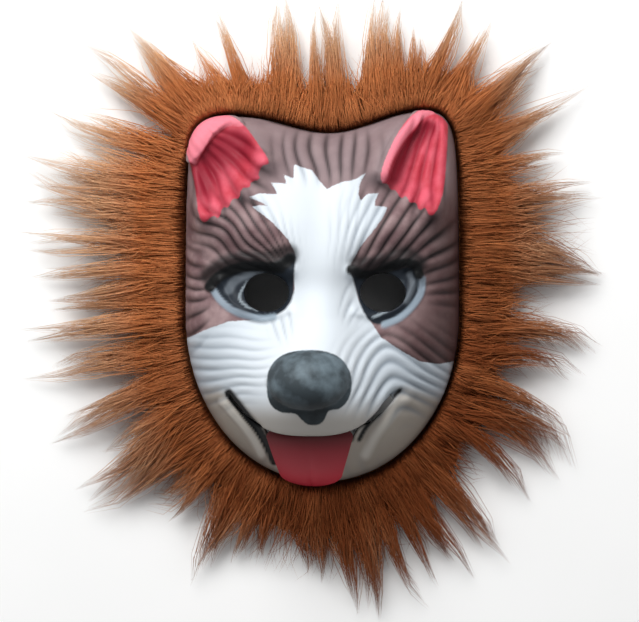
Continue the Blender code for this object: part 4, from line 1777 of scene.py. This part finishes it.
    def ring(self, table: np.ndarray, place: np.ndarray) -> np.ndarray:
        """Reads a table along the outline.

        Args:
            table: A row for each sample of the outline.
            place: Walked distances, which may pass the outline's end.

        Returns:
            The table's values at those places.
        """
        share = (place / self.step) % self.samples
        low = np.floor(share).astype(int) % self.samples
        t = share - np.floor(share)
        t = t if table.ndim == 1 else t[..., None]
        return table[low] * (1 - t) + table[(low + 1) % self.samples] * t

    def walked_to(self, clock: float) -> float:
        """Walked distance along the outline to a direction in degrees."""
        apart = np.abs((self.clock - clock + 180) % 360 - 180)
        return float(apart.argmin()) * self.step

    def build_backing(self, finish: bpy.types.Material) -> bpy.types.Object:
        """The band and its underfur: a flat-bottomed ring that swells next to the face.

        Args:
            finish: The finish of the backing and underfur.

        Returns:
            The finished piece.
        """
        rows = len(self.section)
        mesh = bmesh.new()
        bmesh.ops.create_grid(mesh, x_segments=self.stations, y_segments=rows, size=1)
        places = grid_places(mesh, self.stations, rows)
        walk = self.length * (places[:, 0] % self.stations) / self.stations
        out_share, high = (np.array(column)[places[:, 1] % rows] for column in zip(*self.section))
        point, out = self.ring(self.rim, walk), self.ring(self.out, walk)
        humps = wander(walk, np.zeros_like(walk), self.under_hump, self.seed)
        reach = self.ring(self.pile_reach, walk) * self.under_share * (1 + self.under_ragged * humps)
        flat = point + out * (self.clearance + out_share * reach)[:, None]
        for vertex, place, top in zip(mesh.verts, flat, high * self.height):
            vertex.co = (*place, top)
        bmesh.ops.remove_doubles(mesh, verts=mesh.verts, dist=self.weld)
        bmesh.ops.recalc_face_normals(mesh, faces=mesh.faces)
        bmesh.ops.translate(mesh, vec=self.origin, verts=mesh.verts)
        return finished("fur_backing", mesh, [finish])

    def beyond(self, walk: np.ndarray, out: np.ndarray) -> np.ndarray:
        """Places some way out from the face's outline, in the plane."""
        return self.ring(self.rim, walk) + self.ring(self.out, walk) * (self.clearance + out)[..., None]

    def pile_paths(self, draw: np.random.Generator) -> tuple[np.ndarray, ...]:
        """Strands of the dense pile, gathered in small locks.

        Args:
            draw: The source of random numbers.

        Returns:
            Walked places of the roots, how far out the roots are, and the tips in the plane.
        """
        grow = self.pile_growth
        count = grow.strands
        outer = self.rim + self.out * grow.fan_out
        fan = np.linalg.norm(np.roll(outer, -1, axis=0) - outer, axis=1)
        walk = np.interp(draw.random(count) * fan.sum(), np.cumsum(fan), self.step * np.arange(self.samples))
        reach = self.ring(self.pile_reach, walk)
        inner = draw.random(count) < grow.inner_share
        near_roots = draw.random(count) * grow.inner_roots
        root_out = np.where(inner, near_roots, draw.random(count) * grow.outer_roots * reach)
        locks = np.sort(draw.random(grow.locks) * self.length)
        away = (locks[None] - walk[:, None] + self.length / 2) % self.length - self.length / 2
        near = np.abs(away).argmin(axis=1)
        to_lock = away[np.arange(count), near]
        lock_reach = draw.uniform(*grow.lock_reach, grow.locks)[near]
        tip_walk = walk + to_lock * draw.uniform(*grow.gathered, count)
        tip_walk = tip_walk + draw.normal(0, grow.tip_spread, count)
        tip_out = reach * lock_reach * draw.uniform(*grow.reach, count)
        tip_out = np.maximum(tip_out, root_out + grow.shortest)
        return walk, root_out, self.beyond(tip_walk, tip_out)

    def wisp_strands(self, draw: np.random.Generator, wisp: Wisp, count: int) -> tuple[np.ndarray, ...]:
        """Strands of one long wisp, split in a few points.

        Args:
            draw: The source of random numbers.
            wisp: The wisp.
            count: How many strands it has.

        Returns:
            What pile_paths gives, and the sideways curl in radians.
        """
        grow = self.wisp_growth
        start = self.walked_to(wisp.clock)
        walk = start + draw.normal(0, grow.root_spread[0] + grow.root_spread[1] * wisp.bulk, count)
        root_out = draw.random(count) ** grow.root_power * grow.root_share * self.ring(self.pile_reach, walk)
        middle = self.ring(self.rim, np.array([start]))[0]
        straight = self.ring(self.out, np.array([start]))[0]
        points = grow.points[0] + round(grow.points[1] * wisp.bulk)
        pick = draw.integers(0, points, count)
        turns = draw.normal(0, grow.point_turn[0] + grow.point_turn[1] * wisp.bulk, points)
        lean = np.radians(wisp.lean + turns)[pick]
        aim_x = straight[0] * np.cos(lean) - straight[1] * np.sin(lean)
        aim_y = straight[0] * np.sin(lean) + straight[1] * np.cos(lean)
        aim, side = np.stack([aim_x, aim_y], axis=1), np.stack([-aim_y, aim_x], axis=1)
        shorter = draw.uniform(grow.shortest_point, grow.longest_point, points - 1)
        longest = np.concatenate([[1.0], shorter])[pick]
        share = longest * (grow.full_reach - grow.falls_short * draw.random(count) ** grow.thinning)
        offset = (walk - start) * grow.narrowing * (grow.full_reach - share)
        offset = offset + draw.normal(0, grow.tip_spread, count)
        tip = middle + aim * (wisp.reach * MM * share)[:, None] + side * offset[:, None]
        curl = np.radians(wisp.curl + draw.normal(0, grow.curl_spread, points))[pick]
        return walk, root_out, tip, curl

    def wisp_paths(self, draw: np.random.Generator) -> tuple[np.ndarray, ...]:
        """Strands of all the long wisps, as wisp_strands gives them.

        Args:
            draw: The source of random numbers.

        Returns:
            The columns of wisp_strands, one wisp after another.
        """
        bulk = sum(wisp.bulk for wisp in self.wisps)
        counts = [round(self.wisp_growth.strands * wisp.bulk / bulk) for wisp in self.wisps]
        columns = [self.wisp_strands(draw, wisp, count) for wisp, count in zip(self.wisps, counts)]
        return tuple(np.concatenate(column) for column in zip(*columns))

    def stray_paths(self, draw: np.random.Generator) -> tuple[np.ndarray, ...]:
        """Single long strands between the wisps.

        Args:
            draw: The source of random numbers.

        Returns:
            What pile_paths gives.
        """
        grow = self.stray_growth
        walk = draw.random(grow.strands) * self.length
        reach = self.ring(self.pile_reach, walk)
        root_out = draw.random(grow.strands) * grow.root_share * reach
        tip_walk = walk + draw.normal(0, grow.tip_spread, grow.strands)
        return walk, root_out, self.beyond(tip_walk, reach * draw.uniform(*grow.reach, grow.strands))

    def curves(
        self,
        draw: np.random.Generator,
        walk: np.ndarray,
        root_out: np.ndarray,
        tip: np.ndarray,
        curl: np.ndarray,
    ) -> np.ndarray:
        """Five points on each strand, rising from the underfur and falling towards the floor.

        Args:
            draw: The source of random numbers.
            walk: Walked place of each root along the face's outline.
            root_out: Distance of each root from the face.
            tip: Tip places in the plane.
            curl: Sideways curl at the tip, in radians.

        Returns:
            Points of shape (strands, 5, 3).
        """
        shape = self.strand
        count = len(walk)
        root = self.beyond(walk, root_out)
        chord = tip - root
        side = np.stack([-chord[:, 1], chord[:, 0]], axis=1)
        t = np.array(shape.stations)[None, :, None]
        wave = draw.normal(0, shape.wave, (count, 1, 1)) * np.sin(math.pi * t)
        bend = -np.tan(curl)[:, None, None] * shape.bend * np.sin(math.pi * t) * t
        flat = root[:, None] + chord[:, None] * t + side[:, None] * (wave + bend)
        share = root_out / (self.under_share * self.ring(self.pile_reach, walk))
        top = self.section[: len(self.section) - self.underside]
        lifted = shape.rim_lift * np.exp(-((root_out / shape.rim_width) ** 2))
        start = self.height * (np.interp(share, *zip(*top)) + lifted) - shape.sunk
        swell = 1 + shape.swell * wander(walk, np.zeros(count), shape.swell_size, self.seed + 1)
        arch = self.height * swell * draw.uniform(*shape.arch, count)
        end = draw.uniform(*shape.tip_height, count)
        t = t[..., 0]
        rise = np.minimum(shape.arch_gain * t**shape.arch_rise * (1 - t) ** shape.arch_fall, 1.0)
        height = start[:, None] * (1 - t) ** shape.settling + end[:, None] * t + arch[:, None] * rise
        return np.concatenate([flat, np.maximum(height, shape.lowest)[..., None]], axis=2)

    def strand_mesh(
        self,
        name: str,
        points: np.ndarray,
        width: np.ndarray,
        along: np.ndarray,
        tone: np.ndarray,
        finish: bpy.types.Material,
    ) -> bpy.types.Object:
        """Tapering strands of a few sides each, as one mesh.

        Args:
            name: The piece's name.
            points: Five points on each strand.
            width: Radius of each strand at its root.
            along: How far from the face, in colour, each of its points is, from 0 to 1.
            tone: How light each strand is, from 0 to 1.
            finish: The fibre's finish.

        Returns:
            The piece.
        """
        sides, rings = self.strand.sides, len(self.strand.taper)
        tip, last, count = sides * rings, sides * (rings - 1), len(points)
        tangent = np.gradient(points, axis=1)
        tangent /= np.linalg.norm(tangent, axis=2, keepdims=True)
        side = np.cross(tangent, (0.0, 0.0, 1.0))
        side /= np.linalg.norm(side, axis=2, keepdims=True) + 1e-9
        up = np.cross(side, tangent)
        turns = np.radians(90.0 + 360.0 / sides * np.arange(sides))
        ring = side[:, :rings, None] * np.cos(turns)[:, None] + up[:, :rings, None] * np.sin(turns)[:, None]
        sleeve = points[:, :rings, None] + ring * (width[:, None] * self.strand.taper)[:, :, None, None]
        vertices = np.concatenate([sleeve.reshape(count, tip, 3), points[:, rings:]], axis=1) + self.origin
        quads = [
            (low + a, low + sides + a, low + sides + (a + 1) % sides, low + (a + 1) % sides)
            for low in range(0, last, sides)
            for a in range(sides)
        ]
        caps = [(last + a, tip, last + (a + 1) % sides) for a in range(sides)] + [tuple(range(sides))]
        pattern = np.array([corner for face in quads + caps for corner in face])
        sizes = np.array([len(face) for face in quads + caps])
        loops = (pattern[None] + (tip + 1) * np.arange(count)[:, None]).ravel()
        starts = np.concatenate([[0], np.cumsum(np.tile(sizes, count))[:-1]])
        data = bpy.data.meshes.new(name)
        data.vertices.add((tip + 1) * count)
        data.vertices.foreach_set("co", vertices.astype(np.float32).ravel())
        data.loops.add(len(loops))
        data.loops.foreach_set("vertex_index", loops.astype(np.int32))
        data.polygons.add(len(starts))
        data.polygons.foreach_set("loop_start", starts.astype(np.int32))
        data.update(calc_edges=True)
        data.validate()
        data.shade_smooth()
        add_attribute(data, "along", np.repeat(along, (*[sides] * rings, 1), axis=1))
        add_attribute(data, "tone", np.repeat(tone, tip + 1))
        data.materials.append(finish)
        piece = bpy.data.objects.new(name, data)
        bpy.context.scene.collection.objects.link(piece)
        return piece

    def shades(
        self, draw: np.random.Generator, walk: np.ndarray, run: np.ndarray, turn: np.ndarray
    ) -> tuple[np.ndarray, np.ndarray]:
        """Where in the fibre's colours each strand lies.

        Args:
            draw: The source of random numbers.
            walk: Walked place of each root.
            run: Distance of each of a strand's points from the face.
            turn: Direction of each strand's tip from the middle of the face, in radians.

        Returns:
            How far along the colours each point is, and how light each strand is, from 0 to 1.
        """
        style = self.tone
        tipped = np.clip((run - style.tip_start) / style.tip_length, 0, 1)
        along = np.clip(style.body * run / style.body_length, 0, style.body)
        along = along + style.tip * np.array(self.strand.stations) ** 2 * tipped
        streaks = wander(walk, np.zeros(len(walk)), style.streak_size, self.seed + 2)
        # painted light towards the crown and the left; the streaks and spread are random
        tone = style.mean + style.crown_painted_light * np.sin(turn) - style.left_painted_light * np.cos(turn)
        tone = tone + style.streaks * streaks + draw.normal(0, style.spread, len(walk))
        return along, np.clip(tone, 0, 1)

    def build_pile(self, finish: bpy.types.Material) -> list[bpy.types.Object]:
        """All the strands, as one piece for each sector of the ring.

        Args:
            finish: The fibre's finish.

        Returns:
            The pieces, anticlockwise from the right.
        """
        draw = np.random.default_rng(self.seed)
        pile = self.pile_paths(draw)
        wisps = self.wisp_paths(draw)
        strays = self.stray_paths(draw)
        walk, root_out, tip = (np.concatenate(column) for column in zip(pile, wisps[:3], strays))
        stray_curl = draw.normal(0, self.stray_growth.curl_spread, len(strays[0]))
        curl = np.concatenate([np.zeros(len(pile[0])), wisps[3], stray_curl])
        points = self.curves(draw, walk, root_out, tip, curl)
        width = self.strand.radius * draw.uniform(*self.strand.radius_range, len(points))
        run = np.linalg.norm(points - points[:, :1], axis=2) + root_out[:, None]
        turn = np.arctan2(tip[:, 1], tip[:, 0])
        along, tone = self.shades(draw, walk, run, turn)
        sector = ((turn % (2 * math.pi)) / (2 * math.pi) * self.sectors).astype(int)
        pieces = []
        for k in range(self.sectors):
            rows = (column[sector == k] for column in (points, width, along, tone))
            pieces.append(self.strand_mesh(f"fur_pile_{k + 1}", *rows, finish))
        return pieces


@dataclass(frozen=True)
class SoftBox:
    """A square studio light that faces the mask: its place and size in metres, its power in watts."""

    name: str
    place: tuple[float, float, float]
    size: float
    power: float


@dataclass
class Studio:
    """A pale floor, soft studio light and the camera in front of the mask.

    There is a key light from beyond the crown, weak fills round the mask and a dim even surround.
    """

    photo_size: tuple[int, int] = (639, 622)
    metres_per_pixel: float = 0.000635
    aim: tuple[float, float] = (-0.0012, -0.0098)
    distance: float = 1.40
    yaw: float = math.radians(2.0)
    pitch: float = math.radians(1.8)
    floor_size: float = 6.0
    floor_tones: tuple[str, str] = ("fdfdfc", "fafaf9")
    floor_patches_mm: float = 60.0
    floor_roughness: float = 0.9
    sensor: float = 36.0
    surround: str = "f4f6fa"
    surround_strength: float = 0.15
    boxes: tuple[SoftBox, ...] = (
        SoftBox("key", (-0.35, 1.35, 1.35), 1.1, 41.0),
        SoftBox("left_fill", (-1.3, 0.7, 1.2), 1.0, 7.0),
        SoftBox("right_fill", (1.3, 0.7, 1.2), 1.0, 5.0),
        SoftBox("chin_fill", (0.3, -1.4, 1.3), 1.4, 4.0),
    )

    def build_floor(self) -> None:
        """A matt pale sweep of painted board under the mask, so faintly patched that it reads as even."""
        made, shader = new_finish("matt_studio_floor", {"Roughness": self.floor_roughness})
        tree = made.node_tree
        place = add_node(tree, "ShaderNodeTexCoord").outputs["Object"]
        patches = {"Vector": place, "Scale": 1 / (self.floor_patches_mm * MM)}
        faint = add_node(tree, "ShaderNodeTexNoise", inputs=patches).outputs["Fac"]
        first, second = (linear(tone) for tone in self.floor_tones)
        tones = {FACTOR: faint, UNDER: first, OVER: second}
        shade = add_node(tree, "ShaderNodeMix", {"data_type": "RGBA"}, tones)
        tree.links.new(shade.outputs[RESULT], shader.inputs["Base Color"])
        mesh = bmesh.new()
        bmesh.ops.create_grid(mesh, x_segments=1, y_segments=1, size=self.floor_size / 2)
        floor = finished("floor", mesh, [made])

    def build_lights(self) -> None:
        """The lights and the surround."""
        for box in self.boxes:
            data = bpy.data.lights.new(box.name, "AREA")
            data.size = box.size
            data.energy = box.power
            lamp = bpy.data.objects.new(box.name, data)
            lamp.location = box.place
            lamp.rotation_euler = (-Vector(box.place)).to_track_quat("-Z", "Y").to_euler()
            bpy.context.scene.collection.objects.link(lamp)
        world = bpy.data.worlds.new("studio")
        world.use_nodes = True
        background = world.node_tree.nodes["Background"]
        background.inputs["Color"].default_value = linear(self.surround)
        background.inputs["Strength"].default_value = self.surround_strength
        bpy.context.scene.world = world

    def build_camera(self) -> None:
        """A long lens that looks down at the mask, a little from its viewer's right."""
        data = bpy.data.cameras.new("front")
        data.sensor_width = self.sensor
        seen = self.photo_size[0] * self.metres_per_pixel
        data.lens = self.sensor * self.distance / seen
        level = math.cos(self.pitch)
        back = Vector((math.sin(self.yaw) * level, math.sin(self.pitch), math.cos(self.yaw) * level))
        right = Vector((0, 1, 0)).cross(back).normalized()
        up = back.cross(right)
        camera = bpy.data.objects.new("front", data)
        turned = Matrix((right, up, back)).transposed().to_4x4()
        place = Vector((*self.aim, 0)) + back * self.distance
        camera.matrix_world = Matrix.Translation(place) @ turned
        bpy.context.scene.collection.objects.link(camera)
        bpy.context.scene.camera = camera

    def build(self) -> None:
        """Sets the stage, with colours shown as they are."""
        self.build_floor()
        self.build_lights()
        self.build_camera()
        bpy.context.scene.view_settings.view_transform = "Standard"


def dress(piece: bpy.types.Object, node: str) -> None:
    """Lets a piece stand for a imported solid, ride on the mask, and be reported.

    Args:
        piece: The finished piece.
        node: The solid that it stands for.
    """
    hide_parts(node)
    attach(piece, "root")
    LOG.info("%s: %d faces", piece.name, len(piece.data.polygons))


def main() -> None:
    """Builds the stage, then each piece of the mask in order."""
    logging.basicConfig(level=logging.INFO, format="%(name)s: %(message)s")
    Studio().build()
    form = FaceForm()
    dress(FaceShell(form).build(PaintedShell().build(), RawShell().build()), "face_shell")
    dress(Tongue(form).build(TonguePaint().build()), "tongue")
    ruff = FurRuff(form)
    dress(ruff.build_backing(FurBacking().build()), "fur_ruff")
    for piece in ruff.build_pile(FurFibre().build()):
        dress(piece, "fur_ruff")


if __name__ == "__main__":
    main()
